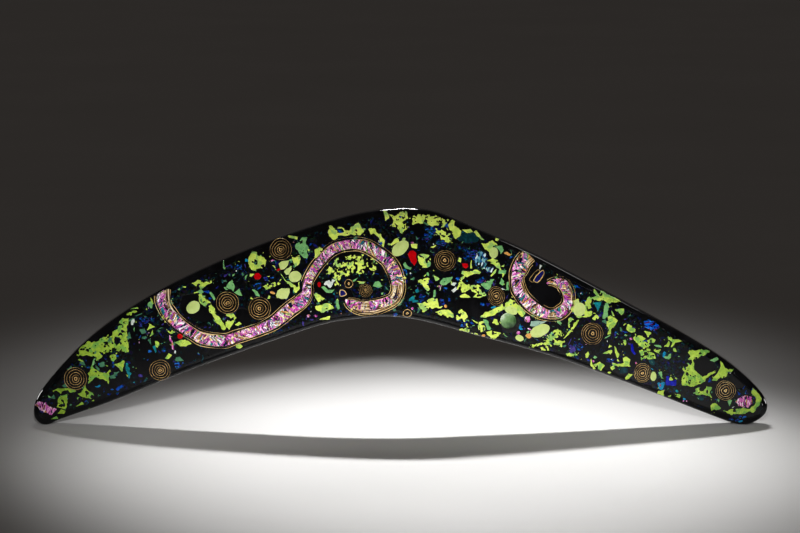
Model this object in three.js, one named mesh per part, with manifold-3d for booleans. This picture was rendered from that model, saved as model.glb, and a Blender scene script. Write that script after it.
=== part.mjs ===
// A decorative boomerang of glossy black glass, with coloured glass let into its front face.
// Millimetres, +Z up. It stands on its two tips, its span along X and its front face towards -Y.
// The origin is the centre of its box, at the level of the surface it stands on.
import * as THREE from 'three';
import { mergeVertices } from 'three/addons/utils/BufferGeometryUtils.js';
import Module from 'manifold-3d';

const wasm = await Module();
wasm.setup();

// Driving dimensions
const THICKNESS = 14;
const FRONT_EDGE_WIDTH = 6;
const FRONT_EDGE_DEPTH = 4;
const FRONT_EDGE_STEPS = 3;
const BACK_CHAMFER = 1.5;
const INLAY_THICKNESS = 2.7;
const CLEARANCE = 0.3;
const POCKET_DEPTH = INLAY_THICKNESS + CLEARANCE;
const SPAN_STEPS_PER_POINT = 4;
const DISC_SIDES = 24;
const FRONT_Y = -THICKNESS / 2;
const BACK_Y = THICKNESS / 2;

// The slab's outline, x and z, clockwise from the left tip: the long outer edge over the bend,
// the right tip, the inner edge back, and the underside of the left tip.
const SLAB_OUTLINE = [
  [-300, 12], [-297.5, 22], [-287, 37], [-254, 71.5], [-205, 106], [-140, 138.2], [-74, 163],
  [-33, 174.5], [-8, 178.2], [12, 178.5], [30, 175.2], [57, 164], [106, 142.2], [172, 107.3],
  [237, 71.5], [270, 49.9], [290, 32.3], [298, 22], [300, 15.5], [298.5, 9.6], [294, 5],
  [288, 1.6], [281, -0.15], [273, 1.2], [250, 9.5], [188, 34], [122, 57.7], [57, 75.8],
  [24, 85], [4, 88.8], [-14, 90], [-36, 88], [-58, 84.7], [-107, 68.9], [-172, 45.5],
  [-238, 18.9], [-280, 3.9], [-286.5, 0.8], [-291.5, -0.15], [-296, 1.9], [-299.3, 6.4],
];

// Ribbons: the middle line's x and z, and the width there
const SERPENT_STATIONS = [
  [-192.5, 113, 15], [-192.5, 103, 13], [-190, 96, 13], [-182, 86, 13], [-170.5, 77.5, 12],
  [-162, 72.8, 13], [-152, 70.8, 13], [-143, 70.5, 12.5], [-134, 73.5, 11.5], [-113, 80.5, 11.5],
  [-103.5, 85, 12.5], [-89, 97, 13.5], [-80.5, 103.5, 13], [-76.5, 110, 11], [-76, 116, 10],
  [-73.5, 123, 10], [-65.5, 135.5, 10.5], [-54.5, 146, 11], [-46, 149, 11], [-37, 150, 11],
  [-28, 148.5, 12], [-20.5, 144.5, 12], [-12.5, 138.5, 12], [-7, 131.5, 13], [-3.5, 123, 13],
  [-2, 113.5, 12], [-5, 105.5, 12], [-13, 101, 13], [-23, 98, 14], [-33, 98, 13],
  [-41, 101.5, 10], [-45, 104.5, 4],
];
const SERPENT_CUTS = [0, 1.05, 4, 7.1, 10.8, 12.6, 16.5, 22.6, 24.2, 31];
const CURL_STATIONS = [
  [105, 140.8, 15], [99.8, 135.8, 15], [96.5, 129.5, 15], [94.5, 122.5, 12.5], [95.5, 114.5, 13],
  [99.5, 106.5, 12.5], [105.5, 100, 12.5], [112.5, 95.2, 12], [120, 92.2, 11], [127.5, 92.8, 12],
  [133.5, 97, 11.5], [136.3, 103.5, 11], [135.5, 111, 11.5], [131, 117.5, 11.5], [124.5, 119, 8],
  [118.5, 118, 4],
];
const CURL_CUTS = [0, 3.2, 5.4, 8.3, 15];

// Round cane slices: the centre's x and z, and the half width and half height
const RING_SLICES = [
  [-265, 39, 9.5, 9.5], [-196, 46, 9, 9], [-140.5, 101.5, 9.5, 9.5], [-114.5, 97, 9.5, 9.5],
  [-97, 145.5, 9, 9], [-42, 117.5, 4, 4], [-28.5, 112, 5.5, 5.5], [5.5, 93, 4, 4],
  [36, 136.5, 8.8, 8.8], [77.7, 107, 7, 8], [156.3, 76.4, 9, 9], [197.4, 43.5, 7, 8],
  [265.3, 29, 8.4, 8.4],
];

// Smooth drops: the centre's x and z, the half length and half width, and the lean in degrees
const DROPS = {
  lime_cabochon_left_arm: [-168.5, 98, 5.8, 4.6, 40],
  lime_cabochon_under_ring: [-85.6, 123.3, 5, 4.4, 10],
  lime_cabochon_bend: [-0.2, 146.6, 7.8, 4.9, 42],
  lime_cabochon_right_arm: [113.4, 78.7, 8.3, 4.7, 24],
  lime_cabochon_by_curl: [145.4, 96.3, 5.6, 4.9, 80],
  green_dome: [87.8, 86.9, 6.8, 6.8, 0],
  red_chip: [69, 124, 3.2, 2.8, 0],
  pink_chip_left_tip: [-290, 14.4, 9, 4.4, 4],
  pink_chip_right_tip: [281, 20, 7, 5.2, 10],
  blue_striped_chip: [204, 83.3, 6.9, 3.6, -22],
};

// Broken shards: straight-sided outlines, x and z
const SHARDS = {
  lime_shard_left_arm: [
    [-264, 58], [-262, 63], [-254, 69], [-246, 69.5], [-236, 76.5], [-230, 80], [-227, 89],
    [-221.5, 89], [-223, 78], [-221.5, 62], [-229, 61], [-234, 53], [-237, 57], [-236, 62],
    [-244, 57], [-248, 53], [-250, 58],
  ],
  lime_shard_by_first_ring: [
    [-252, 50], [-249, 46], [-245, 45], [-240, 44], [-236.5, 47], [-237.5, 35.5], [-243, 39],
    [-248, 40], [-254.3, 35], [-254, 40],
  ],
  lime_shard_diagonal: [
    [-165, 108], [-161, 110], [-157, 104], [-152, 97], [-149, 91], [-146, 87], [-143, 82],
    [-142.5, 79.3], [-145.5, 81], [-150, 86], [-153, 94], [-158, 98], [-162.5, 102.5],
  ],
  lime_shard_top_left: [
    [-120.5, 144], [-115, 141.5], [-108.5, 138.5], [-110, 131], [-118, 129], [-121, 129.5],
    [-123.5, 133], [-123.5, 138],
  ],
  lime_shard_bend_left: [
    [-59, 160], [-57, 164], [-52, 166], [-46, 161.5], [-41, 161], [-39, 165], [-34, 167],
    [-31, 163], [-27, 163], [-31, 158.5], [-36, 157.5], [-50, 157], [-55, 153.5], [-57, 157],
  ],
  lime_shard_bend: [
    [-9, 174], [-5, 173], [3, 177], [8, 174], [9, 170.5], [16, 174.5], [28, 172.5], [39, 169.5],
    [34, 164], [30, 163], [22, 167], [12, 167], [8, 165], [1, 158.5], [-3, 163], [-7, 165],
    [-5, 170],
  ],
  lime_shard_under_bend: [
    [14, 101], [29, 105.5], [31, 100], [34, 98.6], [27, 97], [19, 93.5], [17, 97],
  ],
  lime_shard_under_bend_right: [
    [28, 93.5], [33, 95.6], [38, 96.4], [43, 93], [42, 90], [38, 89.3], [34, 90.5],
  ],
  lime_shard_under_curl: [
    [65.7, 90.3], [69, 94], [77, 97], [84, 100.5], [89.5, 104.5], [92.9, 103.8], [94.9, 100.5],
    [101, 94.5], [100.3, 90.9], [97, 90.5], [94.5, 93.8], [86, 97.2], [78, 93.5], [72, 90],
  ],
  lime_shard_right_top: [
    [164.5, 112], [174.7, 107.3], [182.3, 103.6], [174, 101.6], [167.9, 102.3], [163.1, 104.3],
    [156, 103.3], [156.3, 106.4], [161, 107],
  ],
  lime_shard_right_middle: [
    [189.6, 72.8], [194.4, 74.8], [198.7, 72.4], [196.5, 69.5], [201.9, 68], [208.6, 63.6],
    [205.5, 60.9], [208.3, 55.7], [198.4, 56.1], [196.3, 53.2], [195.9, 60.9], [193.7, 66.3],
  ],
  lime_shard_right_bow: [
    [235.7, 62.2], [245.2, 64], [251.4, 60.7], [244.4, 57.2], [239.3, 54.9], [238.6, 49],
    [241.5, 44], [245.9, 40], [256.9, 45], [249.6, 38.8], [245.2, 35.1], [240.8, 32.8],
    [229.9, 33.7], [229.3, 39.5], [231.3, 44.7], [229.4, 50.5], [235.5, 56.5],
  ],
  lime_shard_right_lower: [
    [104, 66.5], [118, 70.5], [119.5, 75.5], [127, 78.5], [132, 77], [131, 71.5], [134.5, 69.5],
    [129, 64], [121.5, 62.5], [110, 61.7], [106, 63],
  ],
  lime_shard_right_tip: [
    [287.5, 31.5], [294.3, 23.4], [294, 17.6], [289, 12.1], [281.7, 10.6], [270, 9.4],
    [264.2, 12.5], [273.7, 13.6], [285.3, 13.4], [289.5, 17.6], [290.3, 22.7], [286.6, 27.1],
  ],
  jade_shard_left: [
    [-80, 155], [-76, 155], [-77, 150], [-75, 147], [-76, 138.5], [-82, 142], [-85.5, 149],
  ],
  jade_shard_middle: [
    [32, 118], [35, 122], [42.5, 123.5], [40.5, 120], [37, 116], [33, 115.5],
  ],
  jade_shard_by_red_chip: [
    [65.5, 117.5], [71, 119], [75.5, 122.5], [74, 117], [70.6, 112],
  ],
  jade_shard_right: [
    [165.5, 101], [168.5, 101], [169.3, 95], [169, 88], [165, 89], [166, 95],
  ],
  red_drop: [
    [6, 141.5], [8, 144], [10.5, 145], [12.5, 143], [13, 136], [11.5, 132.3], [8, 136],
  ],
  teal_triangle: [
    [157.3, 101.8], [163.3, 102.5], [160.5, 95],
  ],
  mosaic_chip: [
    [60, 141], [64, 144.5], [69, 141.5], [70.5, 136], [76, 130], [74, 126.3], [69, 129],
    [61, 130.3], [61.5, 135],
  ],
  serpent_head_stone: [
    [-49.3, 112.4], [-46, 112.4], [-43.4, 108.8], [-45.3, 107.4], [-49, 107],
  ],
  curl_eye_stone: [
    [115.3, 128.9], [116.9, 126.2], [111.2, 118.1], [107.8, 120.1],
  ],
};

// Round windows in a shard, where the black slab stands through it: x, z and radius
const SHARD_WINDOWS = {
  lime_shard_left_arm: [[-230.5, 70.8, 3.2]],
  lime_shard_top_left: [[-117.5, 135, 2.2]],
  lime_shard_bend_left: [[-49, 160.6, 1.6]],
};

const COLOURS = {
  black: { color: 0x050506, roughness: 0.06 },
  ring: { color: 0x1c120a, roughness: 0.1 },
  ribbon: { color: 0xd489b8, roughness: 0.2 },
  navy: { color: 0x10104a, roughness: 0.08 },
  lime: { color: 0xb9d62c, roughness: 0.15 },
  cabochon: { color: 0xc3d07a, roughness: 0.08 },
  jade: { color: 0x6fae6c, roughness: 0.15 },
  red: { color: 0xb00508, roughness: 0.08 },
  dome: { color: 0x7fae74, roughness: 0.05 },
  teal: { color: 0x0f8f96, roughness: 0.1 },
  mosaic: { color: 0xa9cfc9, roughness: 0.15 },
  pink: { color: 0xc95fb0, roughness: 0.2 },
  blue: { color: 0x0a4dbb, roughness: 0.1 },
};

function glass(look) {
  return new THREE.MeshStandardMaterial({ ...look, metalness: 0 });
}

// A geometry as a manifold-3d solid
function solidOf(geometry) {
  const bare = geometry.clone();
  bare.deleteAttribute('normal');
  bare.deleteAttribute('uv');
  const merged = mergeVertices(bare, 1e-4);
  const vertProperties = new Float32Array(merged.attributes.position.array);
  const triVerts = new Uint32Array(merged.index.array);
  return new wasm.Manifold(new wasm.Mesh({ numProp: 3, vertProperties, triVerts }));
}

// A manifold-3d solid as a geometry
function geometryOf(solid) {
  const mesh = solid.getMesh();
  const geometry = new THREE.BufferGeometry();
  const positions = new Float32Array(mesh.vertProperties);
  geometry.setAttribute('position', new THREE.BufferAttribute(positions, 3));
  geometry.setIndex(new THREE.BufferAttribute(new Uint32Array(mesh.triVerts), 1));
  geometry.computeVertexNormals();
  return geometry;
}

function namedMesh(name, solid, look) {
  const mesh = new THREE.Mesh(geometryOf(solid), glass(look));
  mesh.name = name;
  return mesh;
}

// The slab's outline as a smooth closed loop, centred on x, anticlockwise seen from the front
function slabLoop() {
  const points = SLAB_OUTLINE.map(([x, z]) => new THREE.Vector3(x, z, 0));
  const curve = new THREE.CatmullRomCurve3(points, true, 'centripetal');
  const loop = curve.getPoints(points.length * SPAN_STEPS_PER_POINT).slice(0, -1);
  const xs = loop.map((point) => point.x);
  const middle = (Math.min(...xs) + Math.max(...xs)) / 2;
  return loop.map((point) => new THREE.Vector2(point.x - middle, point.y)).reverse();
}

// A loop moved outwards by a distance, or inwards if it is negative
function offsetLoop(loop, distance) {
  const outwards = THREE.ShapeUtils.isClockWise(loop) ? -1 : 1;
  const sharpest = 0.35;
  return loop.map((point, i) => {
    const before = loop[(i + loop.length - 1) % loop.length];
    const after = loop[(i + 1) % loop.length];
    const arriving = point.clone().sub(before).normalize();
    const leaving = after.clone().sub(point).normalize();
    const along = arriving.clone().add(leaving).normalize();
    const normal = new THREE.Vector2(along.y, -along.x).multiplyScalar(outwards);
    const stretch = 1 / Math.max(Math.sqrt((1 + arriving.dot(leaving)) / 2), sharpest);
    return point.clone().addScaledVector(normal, distance * stretch);
  });
}

// The slab without pockets: rings of the outline at the rounded front edge, the side and the
// chamfer behind, closed by a flat front and a flat back
function slab() {
  const loop = slabLoop();
  const profile = [];
  for (let i = 0; i <= FRONT_EDGE_STEPS; i += 1) {
    const turn = (i / FRONT_EDGE_STEPS) * (Math.PI / 2);
    const inset = FRONT_EDGE_WIDTH * (1 - Math.sin(turn));
    profile.push([inset, FRONT_Y + FRONT_EDGE_DEPTH * (1 - Math.cos(turn))]);
  }
  profile.push([0, BACK_Y - BACK_CHAMFER], [BACK_CHAMFER, BACK_Y]);
  const rings = profile.map(([inset]) => offsetLoop(loop, -inset));
  const count = loop.length;
  const positions = [];
  rings.forEach((ring, level) => {
    ring.forEach((point) => positions.push(point.x, profile[level][1], point.y));
  });
  const index = [];
  for (let level = 0; level + 1 < rings.length; level += 1) {
    for (let i = 0; i < count; i += 1) {
      const next = (i + 1) % count;
      const a = level * count + i;
      const b = level * count + next;
      index.push(a, a + count, b, b, a + count, b + count);
    }
  }
  const backStart = (rings.length - 1) * count;
  THREE.ShapeUtils.triangulateShape(rings[0], []).forEach(([a, b, c]) => index.push(a, b, c));
  THREE.ShapeUtils.triangulateShape(rings.at(-1), []).forEach(([a, b, c]) => {
    index.push(backStart + a, backStart + c, backStart + b);
  });
  const geometry = new THREE.BufferGeometry();
  geometry.setAttribute('position', new THREE.Float32BufferAttribute(positions, 3));
  geometry.setIndex(index);
  const above = { width: 2000, depth: 200, height: 1000 };
  const room = new THREE.BoxGeometry(above.width, above.depth, above.height)
    .translate(0, 0, above.height / 2);
  return solidOf(geometry).intersect(solidOf(room));
}

// An upright prism of an outline, from in front of the slab to a depth behind its front face
function prism(loop, windows, depth) {
  const shape = new THREE.Shape(loop);
  windows.forEach(([x, z, radius]) => {
    shape.holes.push(new THREE.Path(ellipseLoop([x, z, radius, radius])));
  });
  const overshoot = 2;
  const options = { depth: depth + overshoot, bevelEnabled: false };
  const geometry = new THREE.ExtrudeGeometry(shape, options);
  geometry.rotateX(Math.PI / 2);
  geometry.translate(0, FRONT_Y + depth, 0);
  return solidOf(geometry);
}

// An ellipse with its long axis leaning by an angle in degrees
function ellipseLoop([x, z, halfLength, halfWidth, lean = 0]) {
  const turn = THREE.MathUtils.degToRad(lean);
  const curve = new THREE.EllipseCurve(x, z, halfLength, halfWidth, 0, 2 * Math.PI, false, turn);
  return curve.getPoints(DISC_SIDES).slice(0, -1);
}

// One cut length of a ribbon: its two sides between two stations, which may lie between points
function ribbonLoop(stations, from, to) {
  const last = stations.length - 1;
  const middle = new THREE.CatmullRomCurve3(
    stations.map(([x, z, width]) => new THREE.Vector3(x, z, width)), false, 'centripetal');
  const stationGap = middle.getLength() / last;
  const trim = CLEARANCE / 2 / stationGap;
  const stepsPerStation = 2;
  const fewestSteps = 4;
  const reach = 0.05;
  const steps = Math.max(fewestSteps, Math.round((to - from) * stepsPerStation));
  const sides = [[], []];
  for (let i = 0; i <= steps; i += 1) {
    const station = THREE.MathUtils.lerp(from + trim, to - trim, i / steps);
    const place = middle.getPoint(station / last);
    const ahead = middle.getPoint(Math.min((station + reach) / last, 1));
    const behind = middle.getPoint(Math.max((station - reach) / last, 0));
    const along = new THREE.Vector2(ahead.x - behind.x, ahead.y - behind.y).normalize();
    const across = new THREE.Vector2(-along.y, along.x).multiplyScalar(place.z / 2);
    sides[0].push(new THREE.Vector2(place.x + across.x, place.y + across.y));
    sides[1].unshift(new THREE.Vector2(place.x - across.x, place.y - across.y));
  }
  return [...sides[0], ...sides[1]];
}

function lookOf(name) {
  if (name.startsWith('lime_shard')) return COLOURS.lime;
  if (name.startsWith('lime_cabochon')) return COLOURS.cabochon;
  if (name.startsWith('jade')) return COLOURS.jade;
  if (name.startsWith('red')) return COLOURS.red;
  if (name.startsWith('pink')) return COLOURS.pink;
  if (name.startsWith('serpent_ribbon') || name.startsWith('curl_ribbon')) return COLOURS.ribbon;
  if (name.startsWith('ring_slice')) return COLOURS.ring;
  if (name.startsWith('teal')) return COLOURS.teal;
  if (name.startsWith('mosaic')) return COLOURS.mosaic;
  if (name.startsWith('blue')) return COLOURS.blue;
  if (name === 'green_dome') return COLOURS.dome;
  return COLOURS.navy;
}

// Every inlay as a name, a loop and its windows
function inlays() {
  const list = [];
  RING_SLICES.forEach(([x, z, halfWidth, halfHeight], i) => {
    const name = `ring_slice_${String(i + 1).padStart(2, '0')}`;
    list.push({ name, loop: ellipseLoop([x, z, halfWidth, halfHeight]) });
  });
  Object.entries(DROPS).forEach(([name, drop]) => list.push({ name, loop: ellipseLoop(drop) }));
  Object.entries(SHARDS).forEach(([name, points]) => {
    list.push({ name, loop: points.map(([x, z]) => new THREE.Vector2(x, z)) });
  });
  const ribbons = [
    ['serpent_ribbon', SERPENT_STATIONS, SERPENT_CUTS],
    ['curl_ribbon', CURL_STATIONS, CURL_CUTS],
  ];
  ribbons.forEach(([family, stations, cuts]) => {
    for (let i = 0; i + 1 < cuts.length; i += 1) {
      const loop = ribbonLoop(stations, cuts[i], cuts[i + 1]);
      list.push({ name: `${family}_${i + 1}`, loop });
    }
  });
  return list.map((inlay) => ({ ...inlay, windows: SHARD_WINDOWS[inlay.name] ?? [] }));
}

const boomerang = new THREE.Group();
const wholeSlab = slab();
let cutSlab = wholeSlab;
inlays().forEach(({ name, loop, windows }) => {
  const piece = prism(loop, windows, INLAY_THICKNESS).intersect(wholeSlab);
  const posts = windows.map(([x, z, radius]) => [x, z, radius - CLEARANCE]);
  cutSlab = cutSlab.subtract(prism(offsetLoop(loop, CLEARANCE), posts, POCKET_DEPTH));
  boomerang.add(namedMesh(name, piece, lookOf(name)));
});
boomerang.add(namedMesh('black_glass_slab', cutSlab, COLOURS.black));

export default boomerang;
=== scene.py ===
import math

import bpy
import numpy as np
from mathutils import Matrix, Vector


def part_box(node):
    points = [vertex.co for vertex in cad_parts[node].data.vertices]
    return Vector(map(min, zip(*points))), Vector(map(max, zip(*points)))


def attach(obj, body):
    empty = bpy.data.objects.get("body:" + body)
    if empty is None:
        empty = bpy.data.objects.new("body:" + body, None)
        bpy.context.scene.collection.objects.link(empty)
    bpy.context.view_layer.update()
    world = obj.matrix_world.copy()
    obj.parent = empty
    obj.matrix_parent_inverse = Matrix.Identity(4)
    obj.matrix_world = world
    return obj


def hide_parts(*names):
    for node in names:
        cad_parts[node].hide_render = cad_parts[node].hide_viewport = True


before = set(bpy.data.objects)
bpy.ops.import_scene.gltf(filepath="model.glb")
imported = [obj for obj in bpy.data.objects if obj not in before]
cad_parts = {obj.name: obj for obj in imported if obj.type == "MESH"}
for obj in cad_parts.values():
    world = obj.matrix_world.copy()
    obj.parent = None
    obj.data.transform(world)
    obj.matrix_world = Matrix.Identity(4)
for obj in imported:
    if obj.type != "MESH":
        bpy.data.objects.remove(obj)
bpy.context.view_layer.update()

# Shapes are worked out in millimetres, as (x, z) on the slab's face, and built in metres.
MM = 0.001
SLAB = "black_glass_slab"
SLAB_LOW, SLAB_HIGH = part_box(SLAB)
FRONT = SLAB_LOW.y / MM
BACK = SLAB_HIGH.y / MM
FRONT_EDGE_WIDTH = 6.0  # the front edge's round starts this far in, and falls back this deep
FRONT_EDGE_DEPTH = 4.0
BACK_ROUND = 1.5
INLAY_BACK = FRONT + 2.7  # the level of the CAD inlays' backs
OUTLINE_STEP = 1.25  # between points of the slab's outline
FACE_STEP = 0.45  # the grid that inlays are cut out of
SKIRT = 1.3  # how deep an inlay goes into the slab
PROUD = 0.05  # how far an inlay's edge stands out of the face
EDGE_MARGIN = 0.5  # how far inlays keep from the slab's edge


# ---------------------------------------------------------------- numbers and outlines

def noise(x, z, size, seed):
    """Smooth noise from -1 to 1 whose bumps are about size across."""
    u, v = np.asarray(x) / size, np.asarray(z) / size
    i, j = np.floor(u).astype(np.int64), np.floor(v).astype(np.int64)
    f, g = u - i, v - j
    f, g = f * f * (3 - 2 * f), g * g * (3 - 2 * g)

    def lattice(a, b):
        h = (a * 374761393 + b * 668265263 + seed * 362437) & 0xFFFFFFFF
        h = ((h ^ (h >> 13)) * 1274126177) & 0xFFFFFFFF
        return ((h ^ (h >> 16)) & 0xFFFF) / 32767.5 - 1

    low = lattice(i, j) * (1 - f) + lattice(i + 1, j) * f
    high = lattice(i, j + 1) * (1 - f) + lattice(i + 1, j + 1) * f
    return low * (1 - g) + high * g


def outline_distance(x, z, loop):
    """Distance from each point to a closed loop, negative inside it."""
    shape = np.shape(x)
    px, pz = np.ravel(x), np.ravel(z)
    a, b = loop, np.roll(loop, -1, axis=0)
    edge = b - a
    length = np.maximum((edge ** 2).sum(1), 1e-9)
    rise = np.where(np.abs(edge[:, 1]) < 1e-9, 1e-9, edge[:, 1])
    out = np.empty(px.size)
    most_cells = 3_000_000  # points times edges worked out at a time
    chunk = max(1, most_cells // len(loop))
    for k in range(0, px.size, chunk):
        qx, qz = px[k:k + chunk, None], pz[k:k + chunk, None]
        wx, wz = qx - a[:, 0], qz - a[:, 1]
        t = np.clip((wx * edge[:, 0] + wz * edge[:, 1]) / length, 0, 1)
        gap = np.sqrt(((wx - t * edge[:, 0]) ** 2 + (wz - t * edge[:, 1]) ** 2).min(1))
        crossed = ((a[:, 1] <= qz) != (b[:, 1] <= qz)) & (qx < a[:, 0] + wz / rise * edge[:, 0])
        inside = crossed.sum(1) % 2 == 1
        out[k:k + chunk] = np.where(inside, -gap, gap)
    return out.reshape(shape)


def plane_loops(node, level, tolerance=0.02):
    """The closed outlines that a CAD node has on the plane y = level, the largest first."""
    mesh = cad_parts[node].data
    corners = np.array([v.co for v in mesh.vertices]) / MM
    names, first = {}, {}
    for k, corner in enumerate(corners):
        key = tuple(np.round(corner, 2))
        names[k] = first.setdefault(key, k)
    on_plane = np.abs(corners[:, 1] - level) < tolerance
    faces_in_plane = {}
    for polygon in mesh.polygons:
        ring = [names[v] for v in polygon.vertices]
        flat = all(on_plane[v] for v in ring)
        for a, b in zip(ring, ring[1:] + ring[:1]):
            if on_plane[a] and on_plane[b] and a != b:
                edge = (min(a, b), max(a, b))
                faces_in_plane[edge] = faces_in_plane.get(edge, 0) + flat
    ways = {}
    for (a, b), count in faces_in_plane.items():
        if count < 2:
            ways.setdefault(a, []).append(b)
            ways.setdefault(b, []).append(a)
    loops, used = [], set()
    for start in sorted(ways, key=lambda corner: len(ways[corner])):
        if start in used:
            continue
        loop, here = [start], start
        used.add(start)
        while True:
            onward = [v for v in ways[here] if v not in used]
            if not onward:
                break
            here = onward[0]
            used.add(here)
            loop.append(here)
        if len(loop) > 2:
            loops.append(corners[loop][:, [0, 2]])
    return sorted(loops, key=lambda loop: -abs(loop_area(loop)))


def loop_area(loop):
    x, z = loop[:, 0], loop[:, 1]
    return 0.5 * np.sum(x * np.roll(z, -1) - np.roll(x, -1) * z)


def curve_points(points, places, closed=False):
    """A smooth curve through points, at places counted in points from the first."""
    points = np.asarray(points, float)
    count = len(points)
    if closed:
        before, after = np.roll(points, 1, axis=0), np.roll(points, -1, axis=0)
    else:
        before = np.vstack([2 * points[:1] - points[1:2], points[:-1]])
        after = np.vstack([points[1:], 2 * points[-1:] - points[-2:-1]])
    g = np.linalg.norm((points - before)[:, :2], axis=1)[:, None] ** 0.5
    h = np.linalg.norm((after - points)[:, :2], axis=1)[:, None] ** 0.5
    slope = ((points - before) / g * h + (after - points) / h * g) / (g + h)
    places = np.asarray(places, float)
    last = count if closed else count - 1
    i = np.clip(np.floor(places).astype(int), 0, last - 1)
    j = (i + 1) % count
    f = (places - i)[:, None]
    span = h[i]
    m0, m1 = slope[i] * span, slope[j] * span
    f2, f3 = f * f, f * f * f
    return ((2 * f3 - 3 * f2 + 1) * points[i] + (f3 - 2 * f2 + f) * m0
            + (3 * f2 - 2 * f3) * points[j] + (f3 - f2) * m1)


def even_loop(loop, step):
    """A closed loop made smooth, with its points about step apart."""
    per_point = 24
    dense = curve_points(loop, np.linspace(0, len(loop), len(loop) * per_point, endpoint=False),
                         True)
    gaps = np.linalg.norm(np.roll(dense, -1, axis=0) - dense, axis=1)
    along = np.concatenate([[0], np.cumsum(gaps)])
    wanted = np.linspace(0, along[-1], int(along[-1] / step), endpoint=False)
    closed = np.vstack([dense, dense[:1]])
    return np.column_stack([np.interp(wanted, along, closed[:, k]) for k in (0, 1)])


def inset_loop(loop, distance):
    """An anticlockwise loop moved inwards."""
    along = np.roll(loop, -1, axis=0) - np.roll(loop, 1, axis=0)
    along /= np.linalg.norm(along, axis=1)[:, None]
    inwards = np.column_stack([-along[:, 1], along[:, 0]])
    return loop + inwards * distance


def slab_outline():
    """The slab's outline: its outer and inner runs, joined across the flats of the two feet."""
    outer, inner = plane_loops(SLAB, BACK - BACK_ROUND)[:2]
    if np.hypot(*(inner[-1] - outer[-1])) < np.hypot(*(inner[0] - outer[-1])):
        inner = inner[::-1]
    loop = np.vstack([outer, inner])
    if loop_area(loop) < 0:
        loop = loop[::-1]
    loop = even_loop(loop, OUTLINE_STEP)
    loop[:, 1] = np.maximum(loop[:, 1], 0)
    return loop


OUTLINE = slab_outline()
# Distances from the slab's edge on a coarse grid, which edge_distance reads between
RASTER_STEP = 1.5
RASTER_X = np.arange(SLAB_LOW.x / MM - 2 * RASTER_STEP, SLAB_HIGH.x / MM + 4, RASTER_STEP)
RASTER_Z = np.arange(-2 * RASTER_STEP, SLAB_HIGH.z / MM + 4, RASTER_STEP)
RASTER = -outline_distance(*np.meshgrid(RASTER_X, RASTER_Z, indexing="ij"), OUTLINE)


def edge_distance(x, z):
    """How far a point on the face is from the slab's edge."""
    u = np.clip((np.asarray(x) - RASTER_X[0]) / RASTER_STEP, 0, len(RASTER_X) - 1.001)
    v = np.clip((np.asarray(z) - RASTER_Z[0]) / RASTER_STEP, 0, len(RASTER_Z) - 1.001)
    i, j = u.astype(int), v.astype(int)
    f, g = u - i, v - j
    return ((RASTER[i, j] * (1 - f) + RASTER[i + 1, j] * f) * (1 - g)
            + (RASTER[i, j + 1] * (1 - f) + RASTER[i + 1, j + 1] * f) * g)


def front_level(x, z):
    """The y of the slab's front surface, which falls back over its rounded edge."""
    turn = 1 - np.clip(edge_distance(x, z), 0, FRONT_EDGE_WIDTH) / FRONT_EDGE_WIDTH
    return FRONT + FRONT_EDGE_DEPTH * (1 - np.sqrt(np.maximum(1 - turn ** 2, 0)))


# ---------------------------------------------------------------- meshes

def add_piece(name, corners, faces, looks, nodes=(), face_look=None, smooth=True):
    """A new piece from corners in millimetres, riding on the object's one body.

    looks has one name, or several with a space between, which face_look then counts from 0.
    """
    mesh = bpy.data.meshes.new(name)
    mesh.from_pydata([tuple(c) for c in np.asarray(corners) * MM], [], faces)
    for look in looks.split():
        mesh.materials.append(LOOKS[look])
    if face_look is not None:
        mesh.polygons.foreach_set("material_index", np.asarray(face_look, np.int32))
    if smooth:
        mesh.polygons.foreach_set("use_smooth", np.ones(len(faces), bool))
    mesh.validate()
    piece = bpy.data.objects.new(name, mesh)
    bpy.context.scene.collection.objects.link(piece)
    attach(piece, "root")
    if nodes:
        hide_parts(*nodes)
    return piece


def point_attribute(piece, name, values):
    values = np.asarray(values, np.float32)
    kind = "FLOAT" if values.ndim == 1 else "FLOAT_VECTOR"
    made = piece.data.attributes.new(name, kind, "POINT")
    made.data.foreach_set("value" if kind == "FLOAT" else "vector", values.ravel())


# A grid cell's corners and sides, in turn, and how near to a corner a cut may come
CORNER_RING = ("a", "ab", "b", "bc", "c", "cd", "d", "da")
LEAST_SHARE = 0.06


def cell_faces(value):
    """The polygons over the places where a grid's value is negative, and their corners.

    The corners are places on the grid, counted in its steps.
    """
    inside = value < 0
    columns, rows = value.shape
    number = -np.ones((3, columns, rows), np.int64)
    places = []
    i, j = np.nonzero(inside)
    number[0, i, j] = np.arange(len(i))
    places.append(np.column_stack([i, j]).astype(float))
    count = len(i)
    for kind, (di, dj) in ((1, (1, 0)), (2, (0, 1))):
        here = value[:columns - di, :rows - dj]
        there = value[di:, dj:]
        i, j = np.nonzero((here < 0) != (there < 0))
        f = np.clip(here[i, j] / (here[i, j] - there[i, j]), LEAST_SHARE, 1 - LEAST_SHARE)
        number[kind, i, j] = count + np.arange(len(i))
        places.append(np.column_stack([i + di * f, j + dj * f]))
        count += len(i)
    faces = []
    code = (inside[:-1, :-1] * 1 + inside[1:, :-1] * 2 + inside[1:, 1:] * 4 + inside[:-1, 1:] * 8)
    for case in range(1, 16):
        i, j = np.nonzero(code == case)
        if not len(i):
            continue
        has = {"a": case & 1, "b": case & 2, "c": case & 4, "d": case & 8}
        source = {"a": number[0, i, j], "b": number[0, i + 1, j], "c": number[0, i + 1, j + 1],
                  "d": number[0, i, j + 1], "ab": number[1, i, j], "bc": number[2, i + 1, j],
                  "cd": number[1, i, j + 1], "da": number[2, i, j]}
        ring = [key for key in CORNER_RING
                if (has[key] if len(key) == 1 else bool(has[key[0]]) != bool(has[key[1]]))]
        faces.append(np.column_stack([source[key] for key in ring]))
    return np.vstack(places), faces


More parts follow.
